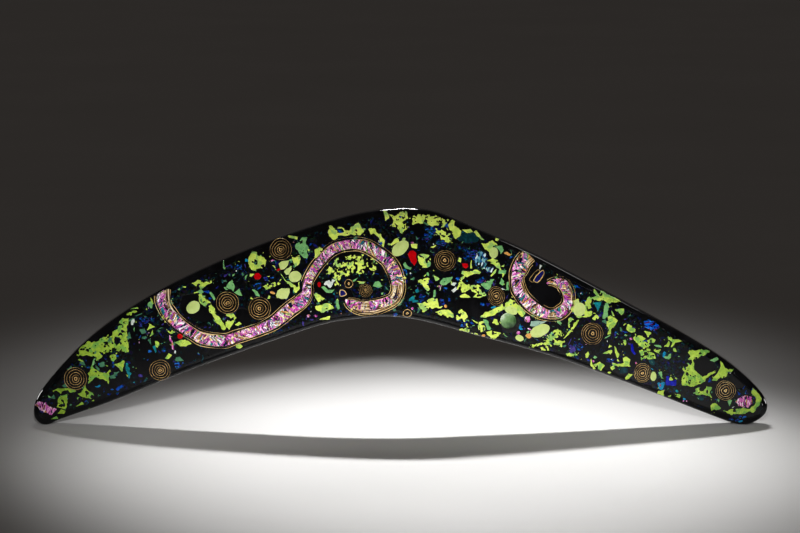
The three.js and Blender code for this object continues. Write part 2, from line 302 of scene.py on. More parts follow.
def thick_solid(flat, faces, rise, depth=SKIRT):
    """A closed solid on a patch of the slab's face, standing out by rise and going in by depth."""
    count = len(flat)
    level = front_level(*flat.T)
    corners = np.vstack([np.column_stack([flat[:, 0], y, flat[:, 1]])
                         for y in (level - rise, level + depth)])
    edges = np.vstack([np.column_stack([f[:, k], f[:, (k + 1) % f.shape[1]]])
                       for f in faces for k in range(f.shape[1])])
    keys = edges[:, 0] * count + edges[:, 1]
    twins = edges[:, 1] * count + edges[:, 0]
    rim = edges[~np.isin(keys, twins)]
    sides = np.column_stack([rim[:, 1], rim[:, 0], rim[:, 0] + count, rim[:, 1] + count])
    polygons = [row for f in faces for row in f.tolist()]
    polygons += [row for f in faces for row in (f[:, ::-1] + count).tolist()]
    polygons += sides.tolist()
    return corners, polygons


def inlay_patch(field, box, crown=0.1, crown_width=0.7, step=FACE_STEP, depth=SKIRT):
    """The solid of an inlay: where field(x, z) is negative, following the slab's front."""
    x0, z0, x1, z1 = box
    x0, z0 = x0 - 2 * step, z0 - 2 * step
    gx, gz = np.meshgrid(np.arange(x0, x1 + 2.5 * step, step),
                         np.arange(z0, z1 + 2.5 * step, step), indexing="ij")
    value = np.maximum(field(gx, gz), EDGE_MARGIN - edge_distance(gx, gz))
    value[[0, -1], :] = value[:, [0, -1]] = step
    value[value == 0] = 1e-6
    places, faces = cell_faces(value)
    if not faces:
        return None
    flat = np.column_stack([x0 + places[:, 0] * step, z0 + places[:, 1] * step])
    i, j = np.round(places).astype(int).T
    reach = np.clip(-value[i, j] / crown_width, 0, 1)
    rise = PROUD + crown * np.sin(reach * math.pi / 2)
    return thick_solid(flat, faces, rise, depth)


def box_of(loops):
    points = np.vstack(loops)
    return (*points.min(0), *points.max(0))


def add_solids(name, solids, look, smooth=True):
    """One piece from several (corners, polygons)."""
    corners, polygons, count = [], [], 0
    for more, faces in solids:
        corners.append(more)
        polygons += [[v + count for v in face] for face in faces]
        count += len(more)
    add_piece(name, np.vstack(corners), polygons, look, smooth=smooth)


# ---------------------------------------------------------------- materials

def per(size):
    """The texture scale that makes features size millimetres across."""
    return 1 / (size * MM)


class Look:
    """A material under construction: nodes are added by kind, with their inputs given by name."""

    def __init__(self, name, roughness=0.12, specular=0.25):
        self.material = bpy.data.materials.new(name)
        self.material.use_nodes = True
        self.tree = self.material.node_tree
        self.shader = self.tree.nodes["Principled BSDF"]
        self.shader.inputs["Roughness"].default_value = roughness
        self.shader.inputs["Specular IOR Level"].default_value = specular

    def add(self, kind, inputs=None, **settings):
        node = self.tree.nodes.new("ShaderNode" + kind)
        for key, value in settings.items():
            setattr(node, key, value)
        for key, value in (inputs or {}).items():
            if isinstance(value, bpy.types.NodeSocket):
                self.tree.links.new(value, node.inputs[key])
            else:
                node.inputs[key].default_value = value
        return node

    def place(self):
        return self.add("TexCoord").outputs["Object"]

    def noise(self, vector, scale, detail=3.0, roughness=0.5, distortion=0.0):
        return self.add("TexNoise", {"Vector": vector, "Scale": scale, "Detail": detail,
                                     "Roughness": roughness, "Distortion": distortion}).outputs[0]

    def cells(self, vector, scale):
        return self.add("TexVoronoi", {"Vector": vector, "Scale": scale}).outputs

    def chance(self, *parts):
        """A random value and colour for each place, which is given in three parts."""
        place = self.add("CombineXYZ", dict(enumerate(parts))).outputs[0]
        return self.add("TexWhiteNoise", {"Vector": place}).outputs

    def split(self, vector):
        return self.add("SeparateXYZ", {0: vector}).outputs

    def channels(self, colour):
        return self.add("SeparateColor", {0: colour}).outputs

    def vector_maths(self, operation, a, b):
        return self.add("VectorMath", {0: a, 1: b}, operation=operation).outputs[0]

    def maths(self, operation, a, b=0.0):
        return self.add("Math", {0: a, 1: b}, operation=operation).outputs[0]

    def fade(self, value, low, high):
        """From 0 at low to 1 at high."""
        return self.add("MapRange", {"Value": value, "From Min": low, "From Max": high}).outputs[0]

    def ramp(self, factor, stops, interpolation="LINEAR"):
        made = self.add("ValToRGB", {"Fac": factor})
        ramp = made.color_ramp
        ramp.interpolation = interpolation
        while len(ramp.elements) < len(stops):
            ramp.elements.new(0.5)
        for element, (position, colour) in zip(ramp.elements, stops):
            element.position = position
            element.color = (*colour, 1)
        return made.outputs["Color"]

    def mix(self, factor, a, b, blend="MIX"):
        a, b = ((*value, 1) if isinstance(value, tuple) else value for value in (a, b))
        return self.add("Mix", {0: factor, 6: a, 7: b}, data_type="RGBA",
                        blend_type=blend).outputs[2]

    def pitted(self, colour, place, apart, reach, where, dark):
        """Dark pits in a colour, apart millimetres from each other, where a mask allows them."""
        near = self.maths("LESS_THAN", self.cells(place, per(apart))["Distance"], reach)
        return self.mix(self.maths("MULTIPLY", near, where), colour, dark)

    def colour(self, socket):
        self.tree.links.new(socket, self.shader.inputs["Base Color"])
        return self.material


def cloudy_glass(name, size, roughness, shades, pits=0.0):
    """Opaque glass with soft clouds of three shades, and dark pits over a share of it if asked."""
    look = Look(name, roughness)
    place = look.place()
    clouds = look.noise(place, per(size), 4.0, 0.6, 0.4)
    colour = look.ramp(clouds, list(zip((0.3, 0.5, 0.72), shades)))
    grain = look.noise(place, per(0.35), 2.0)
    colour = look.mix(0.25, colour, look.ramp(grain, [(0.3, shades[0]), (0.7, shades[2])]))
    if pits:
        where = look.maths("LESS_THAN", look.noise(place, per(6), 2.0), 0.35 + pits)
        colour = look.pitted(colour, place, 1.1, 0.2, where, (0.02, 0.05, 0.01))
    return look.colour(colour)


def lime_look():
    """Lime glass: palest at the bend, deeper towards the tips, olive at the left, part jade."""
    look = Look("lime_glass", 0.14)
    place = look.place()
    clouds = look.noise(place, per(5), 4.0, 0.6, 0.6)

    def shaded(dark, middle, pale):
        return look.ramp(clouds, [(0.28, dark), (0.5, middle), (0.75, pale)])

    across = look.split(place)["X"]
    far = look.fade(look.maths("ABSOLUTE", across), 0.05, 0.23)
    left = look.fade(look.maths("MULTIPLY", across, -1.0), 0.19, 0.27)
    colour = look.mix(far, shaded((0.44, 0.62, 0.09), (0.70, 0.84, 0.13), (0.82, 0.93, 0.22)),
                      shaded((0.22, 0.40, 0.05), (0.42, 0.61, 0.07), (0.58, 0.76, 0.12)))
    colour = look.mix(left, colour,
                      shaded((0.11, 0.22, 0.02), (0.26, 0.42, 0.035), (0.38, 0.55, 0.05)))
    jade_parts = look.ramp(look.noise(place, per(8), 4.0, 0.65, 0.5),
                           [(0.42, (1, 1, 1)), (0.48, (0, 0, 0))])
    colour = look.mix(jade_parts, colour, look.mix(far, (0.34, 0.58, 0.15), (0.17, 0.40, 0.07)))
    where = look.maths("GREATER_THAN", look.noise(place, per(7), 2.0), 0.52)
    return look.colour(look.pitted(colour, place, 1.3, 0.17, where, (0.05, 0.10, 0.01)))


def black_look():
    """Deep black glass with a faint smoky swirl inside."""
    look = Look("black_glass", 0.05)
    swirl = look.noise(look.place(), per(22), 5.0, 0.6, 1.5)
    return look.colour(look.ramp(swirl, [(0.35, (0.0012, 0.0012, 0.0014)),
                                         (0.75, (0.006, 0.006, 0.007))]))


def frit_bed_look():
    """The dark bed between the inlays: black with deep blue, teal and green grains."""
    look = Look("frit_bed", 0.08)
    place = look.place()
    pick = look.channels(look.cells(place, per(1.5))["Color"])[0]
    grains = look.ramp(pick, [
        (0, (0.002, 0.002, 0.002)), (0.50, (0.009, 0.008, 0.007)), (0.64, (0.002, 0.003, 0.016)),
        (0.74, (0.002, 0.012, 0.015)), (0.82, (0.004, 0.014, 0.005)), (0.89, (0.007, 0.003, 0.018)),
        (0.94, (0.002, 0.007, 0.050)), (0.975, (0.002, 0.030, 0.036))], "CONSTANT")
    bare = look.ramp(look.noise(place, per(26), 3.0, 0.6, 0.8),
                     [(0.42, (1, 1, 1)), (0.56, (0, 0, 0))])
    return look.colour(look.mix(bare, grains, (0.002, 0.002, 0.0025)))


def bronze_look(name, shades):
    """Bronze of three shades in soft patches."""
    look = Look(name, 0.22)
    glow = look.noise(look.place(), per(4.5), 3.0, 0.6)
    return look.colour(look.ramp(glow, list(zip((0.32, 0.5, 0.72), shades))))


def ribbon_look():
    """Iridescent ribbon glass: patches of parallel streaks, and bronze threads where it is gilt."""
    look = Look("ribbon_glass", 0.2)

    def stretched(vector, factors):
        return look.vector_maths("MULTIPLY", vector, factors)

    def times(a, b):
        return look.maths("MULTIPLY", a, b)

    def plus(a, b):
        return look.maths("ADD", a, b)

    # A streak's number and colour: each patch turns its streaks its own way
    flow = look.add("Attribute", attribute_name="flow").outputs["Vector"]
    patch = look.channels(look.cells(stretched(flow, (0.13, 0.12, 3.0)), 1.0)["Color"])
    angle = times(look.maths("SUBTRACT", patch[0], 0.5), 2.2)
    turned = look.add("VectorRotate", {"Vector": flow, "Angle": angle},
                      rotation_type="Z_AXIS").outputs[0]
    axes = look.split(turned)
    sway = look.noise(stretched(turned, (0.4, 0.55, 1.0)), 1.0, 2.0)
    along = plus(plus(times(axes[0], 0.72), times(sway, 1.8)), times(patch[1], 31.0))
    streak = look.maths("FLOOR", along)
    across = look.maths("FLOOR", plus(times(axes[1], 0.16), times(streak, 0.37)))
    colour = look.ramp(look.chance(streak, across, patch[2])["Value"], [
        (0, (0.50, 0.045, 0.36)), (0.12, (0.86, 0.30, 0.66)), (0.26, (0.68, 0.12, 0.50)),
        (0.37, (0.98, 0.55, 0.82)), (0.48, (1.0, 0.95, 0.98)), (0.60, (0.40, 0.12, 0.50)),
        (0.64, (0.62, 0.28, 0.08)), (0.71, (1.0, 0.78, 0.38)), (0.77, (0.12, 0.04, 0.03)),
        (0.82, (0.003, 0.004, 0.02)), (0.90, (0.01, 0.20, 0.26)), (0.955, (0.26, 0.48, 0.14))],
        "CONSTANT")

    # Dark gaps between some of the streaks
    gap = look.chance(streak, patch[2], 5.0)
    dark = look.ramp(gap["Color"], [(0, (0.004, 0.004, 0.012)), (0.45, (0.006, 0.010, 0.08)),
                                    (0.60, (0.005, 0.10, 0.12)), (0.75, (0.05, 0.012, 0.02))],
                     "CONSTANT")
    narrow = look.maths("LESS_THAN", look.maths("FRACT", along), 0.30)
    chosen = look.maths("LESS_THAN", gap["Value"], 0.55)
    colour = look.mix(times(narrow, chosen), colour, dark)
    mottle = look.noise(stretched(turned, (0.8, 0.35, 1.0)), 1.0, 2.0)
    shade = look.ramp(mottle, [(0.37, (0.12, 0.08, 0.14)), (0.50, (0.9, 0.86, 0.88)),
                               (0.64, (1.8, 1.8, 1.7))])
    colour = look.mix(0.6, colour, shade, "MULTIPLY")
    threads = look.noise(stretched(flow, (0.06, 1.1, 1.0)), 1.0, 2.0, 0.5)
    bronze = look.ramp(threads, [(0.40, (0.012, 0.006, 0.004)), (0.47, (0.13, 0.070, 0.030)),
                                 (0.53, (0.60, 0.36, 0.13)), (0.60, (1.0, 0.88, 0.62))])
    gilt = look.add("Attribute", attribute_name="gilt").outputs["Fac"]
    return look.colour(look.mix(gilt, colour, bronze))


def shattered_glass(name, size, stretch, colours):
    """Glass in hard-edged splinters, each of one of the colours, with a little grain."""
    look = Look(name, 0.1)
    place = look.place()
    warp = look.add("TexNoise", {"Vector": place, "Scale": per(4)}).outputs["Color"]
    shift = look.vector_maths("MULTIPLY", warp, (2 * MM,) * 3)
    moved = look.vector_maths("ADD", place, shift)
    cells = look.cells(look.vector_maths("MULTIPLY", moved, stretch), per(size))
    stops = [(k / len(colours), c) for k, c in enumerate(colours)]
    colour = look.ramp(look.channels(cells["Color"])[0], stops, "CONSTANT")
    shade = look.ramp(look.noise(place, per(0.8), 2.0),
                      [(0.3, (0.45, 0.45, 0.5)), (0.65, (1.2, 1.2, 1.2))])
    return look.colour(look.mix(0.6, colour, shade, "MULTIPLY"))


def dome_look(centre_x, centre_z, radius):
    """Milky green glass with painted light: a pale crescent on the upper left, which is a painted
    highlight, and painted shade at the lower right.
    """
    look = Look("green_dome_glass", 0.05, 0.5)
    place = look.place()

    def shifted(axis, centre, factor):
        from_centre = look.maths("SUBTRACT", look.split(place)[axis], centre * MM)
        return look.maths("MULTIPLY", look.maths("MULTIPLY", from_centre, 1 / radius / MM), factor)

    # Painted light: the colour runs lighter towards the upper left and darker towards the lower
    # right, as light and shade on the dome
    slope = look.maths("SUBTRACT", shifted("Z", centre_z, 0.30), shifted("X", centre_x, 0.22))
    cloud = look.maths("MULTIPLY", look.noise(place, per(3.5), 4.0, 0.6), 0.5)
    lean = look.maths("ADD", look.maths("ADD", cloud, slope), 0.25)
    # The pale stop at 0.84 is the painted highlight crescent, and the darkest stops are painted
    # shade
    return look.colour(look.ramp(lean, [
        (0.12, (0.010, 0.025, 0.010)), (0.32, (0.04, 0.10, 0.03)), (0.50, (0.12, 0.24, 0.08)),
        (0.70, (0.24, 0.40, 0.17)), (0.84, (0.60, 0.70, 0.54)), (0.95, (0.30, 0.46, 0.22))]))


# Cloudy glasses: material name, size of the clouds, roughness and the three shades
CLOUDY = {
    "ring_black": ("ring_black_glass", 5, 0.08,
                   ((0.002, 0.0015, 0.001), (0.004, 0.003, 0.002), (0.010, 0.007, 0.004))),
    "jade": ("jade_glass", 3.5, 0.14,
             ((0.07, 0.26, 0.09), (0.17, 0.44, 0.15), (0.30, 0.60, 0.22)), 0.12),
    "jade_dark": ("dark_jade_glass", 3, 0.14,
                  ((0.02, 0.09, 0.05), (0.05, 0.17, 0.09), (0.09, 0.26, 0.14))),
    "cabochon": ("cabochon_glass", 6, 0.10,
                 ((0.48, 0.60, 0.17), (0.58, 0.70, 0.22), (0.66, 0.76, 0.30))),
    "red": ("red_glass", 4, 0.10, ((0.28, 0, 0.002), (0.50, 0, 0.003), (0.66, 0.004, 0.006))),
    "white": ("white_glass", 2, 0.12,
              ((0.42, 0.50, 0.44), (0.66, 0.70, 0.64), (0.86, 0.88, 0.84))),
    "cobalt": ("cobalt_glass", 2, 0.08, ((0, 0, 0.14), (0.003, 0.003, 0.34), (0.01, 0.03, 0.55))),
    "orange": ("orange_glass", 2, 0.12,
               ((0.55, 0.20, 0.02), (0.75, 0.35, 0.06), (0.85, 0.55, 0.25))),
    "pale": ("pale_jade_glass", 4, 0.12,
             ((0.16, 0.30, 0.23), (0.30, 0.46, 0.36), (0.46, 0.60, 0.50))),
    # Painted shadow: the near-black glass of the disc beside the green dome
    "smoke": ("smoke_glass", 4, 0.08,
              ((0.003, 0.003, 0.003), (0.008, 0.0085, 0.008), (0.030, 0.032, 0.030))),
    "teal": ("teal_glass", 3, 0.10, ((0, 0.05, 0.07), (0.003, 0.16, 0.20), (0.015, 0.38, 0.42))),
    "teal_dark": ("dark_teal_glass", 3, 0.10,
                  ((0.001, 0.006, 0.009), (0.002, 0.022, 0.032), (0.006, 0.07, 0.085))),
    "blue": ("blue_glass", 1.6, 0.10, ((0, 0.010, 0.10), (0, 0.035, 0.30), (0.006, 0.12, 0.60))),
    "cyan": ("cyan_glass", 1.6, 0.10, ((0, 0.08, 0.20), (0, 0.20, 0.42), (0.03, 0.45, 0.70))),
    "violet": ("violet_glass", 1.6, 0.10,
               ((0.010, 0.006, 0.06), (0.03, 0.02, 0.16), (0.10, 0.07, 0.36))),
    "navy": ("navy_glass", 2, 0.08,
             ((0.002, 0.002, 0.03), (0.006, 0.006, 0.09), (0.015, 0.02, 0.22))),
}
# Shattered glasses: material name, size of the splinters, how they are squeezed, and their colours
SHATTERED = {
    "pink": ("pink_glass", 1.25, (1.5, 1, 0.55), (
        (0.62, 0.10, 0.44), (0.82, 0.34, 0.64), (0.10, 0.01, 0.06), (0.70, 0.20, 0.50),
        (0.55, 0.26, 0.07), (0.95, 0.75, 0.86), (0.48, 0.05, 0.32), (0.02, 0.02, 0.05))),
    "mosaic": ("mosaic_glass", 1.7, (1.3, 1, 0.6), (
        (0.003, 0.01, 0.02), (0.05, 0.26, 0.30), (0.80, 0.92, 0.90), (0.01, 0.04, 0.10),
        (0.30, 0.58, 0.52), (0.003, 0.008, 0.02), (0.01, 0.10, 0.30), (0.22, 0.50, 0.60),
        (0.004, 0.01, 0.02))),
    "opal": ("opal_glass", 1.2, (0.7, 1, 1.6), (
        (0, 0.01, 0.10), (0, 0.03, 0.28), (0, 0.002, 0.012), (0.01, 0.13, 0.48),
        (0.04, 0.02, 0.18), (0, 0.002, 0.01), (0, 0.05, 0.07), (0, 0.003, 0.02))),
    "blue_striped": ("blue_striped_glass", 1.5, (0.75, 1, 1.6), (
        (0, 0.05, 0.50), (0.02, 0.24, 0.85), (0.001, 0.004, 0.03), (0, 0.10, 0.60),
        (0.10, 0, 0.03), (0, 0.14, 0.75), (0.002, 0.002, 0.02))),
}
LOOKS = {
    "black": black_look(),
    "bed": frit_bed_look(),
    "lime": lime_look(),
    "ribbon": ribbon_look(),
    "dome": dome_look(87.8, 86.9, 6.8),
    "bronze": bronze_look("bronze_glass", (
        (0.16, 0.10, 0.038), (0.52, 0.33, 0.12), (0.90, 0.62, 0.26))),
    "bold_bronze": bronze_look("bold_bronze_glass", (
        (0.46, 0.29, 0.09), (0.78, 0.52, 0.19), (1.0, 0.76, 0.36))),
}
LOOKS.update({key: cloudy_glass(*values) for key, values in CLOUDY.items()})
LOOKS.update({key: shattered_glass(*values) for key, values in SHATTERED.items()})


# ---------------------------------------------------------------- the slab

def build_slab():
    """The black glass slab, with a finely rounded front edge and a rounded back edge."""
    front_steps, back_steps = 12, 5
    profile = []
    for k in range(front_steps + 1):
        turn = k / front_steps * math.pi / 2
        profile.append((FRONT_EDGE_WIDTH * (1 - math.sin(turn)),
                        FRONT + FRONT_EDGE_DEPTH * (1 - math.cos(turn))))
    for k in range(back_steps + 1):
        turn = k / back_steps * math.pi / 2
        profile.append((BACK_ROUND * (1 - math.cos(turn)),
                        BACK - BACK_ROUND * (1 - math.sin(turn))))
    count = len(OUTLINE)
    corners = []
    for inset, level in profile:
        ring = inset_loop(OUTLINE, inset)
        corners.append(np.column_stack([ring[:, 0], np.full(count, level),
                                        np.maximum(ring[:, 1], 0)]))
    faces = []
    for level in range(len(profile) - 1):
        for k in range(count):
            a, b = level * count + k, level * count + (k + 1) % count
            faces.append((b, a, a + count, b + count))
    last = (len(profile) - 1) * count
    faces.append(tuple(range(count)))
    faces.append(tuple(range(last + count - 1, last - 1, -1)))
    piece = add_piece("glass_slab", np.vstack(corners), faces, "black", [SLAB])
    for polygon in piece.data.polygons:
        if len(polygon.vertices) > 4:
            polygon.use_smooth = False


# Plain black areas, without frit: x, z and radius
BARE_SPOTS = [(118, 107, 15), (108, 124, 9), (-170, 100, 10), (-160, 92, 6), (-128, 90, 7),
              (-103, 99, 7), (247, 48, 8), (61, 100, 11), (50, 101, 6), (-150, 61, 7),
              (-282, 9, 9), (275, 38, 7), (-44, 108, 6)]


def build_frit_bed():
    """The thin dark bed of fine frit just under the polish, held back from the slab's edge."""
    held_back, step, depth, sunk = 4.6, 1.1, 0.4, 0.03

    def field(x, z):
        ragged = 1.4 * noise(x, z, 9, 5) + 0.6 * noise(x, z, 3, 6)
        value = held_back + ragged - edge_distance(x, z)
        for spot_x, spot_z, radius in BARE_SPOTS:
            value = np.maximum(value, radius + ragged - np.hypot(x - spot_x, z - spot_z))
        return value

    box = (OUTLINE[:, 0].min(), 0, OUTLINE[:, 0].max(), OUTLINE[:, 1].max())
    corners, faces = inlay_patch(field, box, 0.0, 1.0, step, depth)
    corners[:, 1] += sunk
    add_piece("frit_bed", corners, faces, "bed")


build_slab()
build_frit_bed()


# ---------------------------------------------------------------- ring slices

# Bronze lines as (inner, outer) shares of the slice's radius, the first one round the middle
THIN_RINGS = ((0.07, 0.15), (0.29, 0.32), (0.50, 0.53), (0.73, 0.757), (0.94, 0.965))
BOLD_RINGS = ((0.06, 0.15), (0.355, 0.39), (0.58, 0.61), (0.78, 0.805), (0.955, 0.975))
SMALL_RINGS = ((0.12, 0.27), (0.80, 0.91))
RING_STYLES = {6: SMALL_RINGS, 8: SMALL_RINGS, **dict.fromkeys(range(9, 14), BOLD_RINGS)}
BRIGHT_RINGS = (12, 13)


def build_ring_slice(index):
    """A black disc with thin bronze rings, each a little out of round."""
    node = f"ring_slice_{index:02d}"
    low, high = (np.array(corner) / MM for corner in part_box(node))
    centre, half = (low + high) / 2, (high - low) / 2
    lines = RING_STYLES.get(index, THIN_RINGS)
    edges = [radius for line in lines for radius in line] + [1.0]
    sides, top_rise = 120, 0.16
    angle = np.arange(sides) * 2 * math.pi / sides
    cos, sin = np.cos(angle), np.sin(angle)
    flat = [np.array([[centre[0], centre[2]]])]
    for k, radius in enumerate(edges):
        line = k // 2
        wobble = (0.45 * noise(1.1 * cos + 0.4 * line, 1.1 * sin, 1, index)
                  + 0.12 * noise(3 * cos, 3 * sin + 9 * line, 1, 40 + index))
        width = 0.08 * noise(4 * cos, 4 * sin, 1, 90 + 7 * index + k)
        reach = radius + (wobble + width) / half[0] * (0.0 if radius == 1.0 else 1.0)
        flat.append(np.column_stack([centre[0] + half[0] * reach * cos,
                                     centre[2] + half[2] * reach * sin]))
    flat = np.vstack(flat)
    first = np.arange(sides)
    after = (first + 1) % sides
    faces = [np.column_stack([np.zeros(sides, int), 1 + first, 1 + after])]
    face_look = [0] * sides
    for k in range(len(edges) - 1):
        inner, outer = 1 + k * sides, 1 + (k + 1) * sides
        faces.append(np.column_stack([inner + first, outer + first, outer + after, inner + after]))
        face_look += [1 - k % 2] * sides
    rise = np.full(len(flat), top_rise)
    rise[-sides:] = PROUD
    corners, polygons = thick_solid(flat, faces, rise)
    face_look += [0] * (len(polygons) - len(face_look))
    bronze = "bold_bronze" if index in BRIGHT_RINGS else "bronze"
    add_piece(f"ring_{index:02d}", corners, polygons, "ring_black " + bronze,
              [node], face_look)


for ring_index in range(1, 14):
    build_ring_slice(ring_index)


# ---------------------------------------------------------------- ribbons

# The middle line's x and z, and the width there, as the slab's pockets have them
SERPENT = [
    (-192.5, 113, 15), (-192.5, 103, 13), (-190, 96, 13), (-182, 86, 13), (-170.5, 77.5, 12),
    (-162, 72.8, 13), (-152, 70.8, 13), (-143, 70.5, 12.5), (-134, 73.5, 11.5),
    (-113, 80.5, 11.5), (-103.5, 85, 12.5), (-89, 97, 13.5), (-80.5, 103.5, 13),
    (-76.5, 110, 11), (-76, 116, 10), (-73.5, 123, 10), (-65.5, 135.5, 10.5), (-54.5, 146, 11),
    (-46, 149, 11), (-37, 150, 11), (-28, 148.5, 12), (-20.5, 144.5, 12), (-12.5, 138.5, 12),
    (-7, 131.5, 13), (-3.5, 123, 13), (-2, 113.5, 12), (-5, 105.5, 12), (-13, 101, 13),
    (-23, 98, 14), (-33, 98, 13), (-41, 101.5, 10), (-45, 104.5, 4),
]
SERPENT_CUTS = (0, 1.05, 4, 7.1, 10.8, 12.6, 16.5, 22.6, 24.2, 31)
CURL = [
    (105, 140.8, 15), (99.8, 135.8, 15), (96.5, 129.5, 15), (94.5, 122.5, 12.5),
    (95.5, 114.5, 13), (99.5, 106.5, 12.5), (105.5, 100, 12.5), (112.5, 95.2, 12),
    (120, 92.2, 11), (127.5, 92.8, 12), (133.5, 97, 11.5), (136.3, 103.5, 11),
    (135.5, 111, 11.5), (131, 117.5, 11.5), (124.5, 119, 8), (118.5, 118, 4),
]
CURL_CUTS = (0, 3.2, 5.4, 8.3, 15)
EDGING = 1.9  # the width that the bronze threads take on each side
CUT_GAP = 0.2  # from a ribbon segment's end to its cut


# How finely a middle line is measured, and how far along it, in stations, its direction is taken
PLACES_PER_STATION = 40
NEARBY = 0.02


class Ribbon:
    """A ribbon's middle line, with places on it given by station and by distance across."""

    def __init__(self, stations):
        self.stations = stations
        self.last = len(stations) - 1
        fine = np.linspace(0, self.last, self.last * PLACES_PER_STATION + 1)
        line = curve_points(stations, fine)
        steps = np.linalg.norm(np.diff(line[:, :2], axis=0), axis=1)
        self.fine, self.along = fine, np.concatenate([[0], np.cumsum(steps)])

    def station(self, distance):
        return np.interp(distance, self.along, self.fine)

    def distance(self, station):
        return np.interp(station, self.fine, self.along)

    def place(self, distance, across):
        """The (x, z) of points by their distances along and across."""
        u = self.station(distance)
        at = curve_points(self.stations, u)
        ahead = curve_points(self.stations, np.minimum(u + NEARBY, self.last))
        behind = curve_points(self.stations, np.maximum(u - NEARBY, 0))
        tangent = (ahead - behind)[:, :2]
        tangent /= np.linalg.norm(tangent, axis=1)[:, None]
        side = np.column_stack([-tangent[:, 1], tangent[:, 0]])
        return at[:, :2] + side * np.asarray(across)[:, None]

    def half_width(self, distance):
        return curve_points(self.stations, self.station(distance))[:, 2] / 2


def trimmed_start(ribbon, along, across, margin=0.9):
    """Where a line at a distance across the ribbon first lies inside the slab."""
    tries = np.linspace(along[0], along[-1], 60)
    inside = edge_distance(*ribbon.place(tries, np.full(len(tries), across)).T) >= margin
    return tries[np.argmax(inside)]


def strip(ribbon, along, low, high, columns, rise):
    """A thick strip of a ribbon between two distances across, which may vary along it."""
    rows = len(along)
    share = np.linspace(0, 1, columns)
    across = low[:, None] * (1 - share) + high[:, None] * share
    starts = np.array([trimmed_start(ribbon, along, t) for t in across[0]])
    run = (along - along[0]) / (along[-1] - along[0])
    s = (starts + run[:, None] * (along[-1] - starts)).ravel()
    t = across.ravel()
    flat = ribbon.place(s, t)
    i, j = np.meshgrid(np.arange(rows - 1), np.arange(columns - 1), indexing="ij")
    a = (i * columns + j).ravel()
    faces = np.column_stack([a, a + columns, a + columns + 1, a + 1])
    edge = np.minimum(share, 1 - share) * 2
    lift = PROUD + rise * np.sqrt(np.minimum(1, edge * 3))
    return *thick_solid(flat, [faces], np.tile(lift, rows)), s, t


def build_ribbon(family, stations, cuts, gilded, seed):
    """A ribbon's cut segments, with attributes for the streaks' flow and for the gilt stretches."""
    ribbon = Ribbon(stations)
    columns, rise = 22, 0.16
    for k in range(len(cuts) - 1):
        start = ribbon.distance(cuts[k]) + CUT_GAP
        end = ribbon.distance(cuts[k + 1]) - CUT_GAP
        along = np.append(np.arange(start, end, FACE_STEP), end)
        half = ribbon.half_width(along)
        core = np.maximum(half - EDGING, half * 0.4)
        low = -core + 0.25 * noise(along, 0, 2.2, seed + k)
        high = core + 0.25 * noise(along, 0, 2.2, seed + 50 + k)
        corners, polygons, s, t = strip(ribbon, along, low, high, columns, rise)
        piece = add_piece(f"{family}_{k + 1}_flakes", corners, polygons, "ribbon",
                          [f"{family}_{k + 1}"])
        flow = np.column_stack([s, t, np.full(len(s), 11.0 * k + seed)])
        point_attribute(piece, "flow", np.vstack([flow, flow]))
        u, share = ribbon.station(s), t / ribbon.half_width(s)
        gilt = np.zeros(len(s))
        ragged = 0.16 * noise(s, t, 2.5, seed + 30)
        for first, last, inner, outer in gilded:
            inside = np.minimum(np.minimum(u - first, last - u) * 2,
                                np.minimum(share - inner, outer - share) * 2) + ragged
            gilt = np.maximum(gilt, np.clip(inside * 8, 0, 1))
        point_attribute(piece, "gilt", np.tile(gilt, 2))
    return ribbon


# Each thread: its side, its distance in from the ribbon's edge, its width, and where it runs
EDGING_LINES = [
    (-1, 1.55, 0.42, 0.0, 1.0), (-1, 0.0, 0.45, 0.0, 1.0),
    (1, 1.55, 0.40, 0.0, 1.0), (1, 0.1, 0.40, 0.03, 0.45), (1, -0.1, 0.42, 0.5, 1.0),
]


def build_edging(name, ribbon, seed):
    """The bronze threads along both sides of a ribbon, which sway and fade as they run."""
    whole = np.arange(0.5, ribbon.along[-1] - 0.3, 0.6)
    columns, rise = 4, 0.2
    solids = []
    for side, offset, width, first, last in EDGING_LINES:
        along = whole[(whole > first * whole[-1]) & (whole < last * whole[-1])]
        line_seed = seed + int(10 * side * (1 + offset))
        sway = 0.30 * noise(along, 0, 7, line_seed)
        centre = side * (ribbon.half_width(along) - offset + sway)
        fade = 0.75 + 0.75 * noise(along, 0, 13, line_seed + 3)
        thick = width / 2 * np.clip(fade, 0.12, 1.2)
        solids.append(strip(ribbon, along, centre - thick, centre + thick, columns, rise)[:2])
    add_solids(name, solids, "bold_bronze")


DASH_ODDS = {"navy": 0.26, "teal": 0.16, "white": 0.26, "bold_bronze": 0.14, "pink": 0.12,
             "jade": 0.06}
DASHES_PER_MM = 0.9
DASH_RISE = 0.25  # just above the flakes that they lie on


def build_dashes(name, ribbon, seed):
    """Short hard stripes across and along a ribbon, a mesh for each colour."""
    rng = np.random.default_rng(seed)
    length = ribbon.along[-1]
    taper = np.array([0.35, 0.9, 1, 1, 0.9, 0.35])
    count = len(taper)
    groups = {colour: [] for colour in DASH_ODDS}
    for _ in range(int(length * DASHES_PER_MM)):
        colour = rng.choice(list(groups), p=list(DASH_ODDS.values()))
        s = rng.uniform(4, length - 6)
        half = ribbon.half_width([s])[0] - EDGING - 0.2
        reach = min(rng.uniform(1.2, 3.6), half)
        middle = rng.uniform(-(half - reach / 2), half - reach / 2)
        lean = rng.normal(0, 0.55)
        width = rng.uniform(0.35, 0.75)
        t = np.clip(np.linspace(middle - reach / 2, middle + reach / 2, count), -half, half)
        centre = s + lean * (t - middle)
        wide = width / 2 * taper
        flat = np.vstack([ribbon.place(centre - wide, t), ribbon.place(centre + wide, t)])
        a = np.arange(count - 1)
        faces = [np.column_stack([a, a + count, a + count + 1, a + 1])]
        groups[colour].append(thick_solid(flat, faces, DASH_RISE))
    for colour, solids in groups.items():
        add_solids(f"{name}_{colour}_dashes", solids, colour)


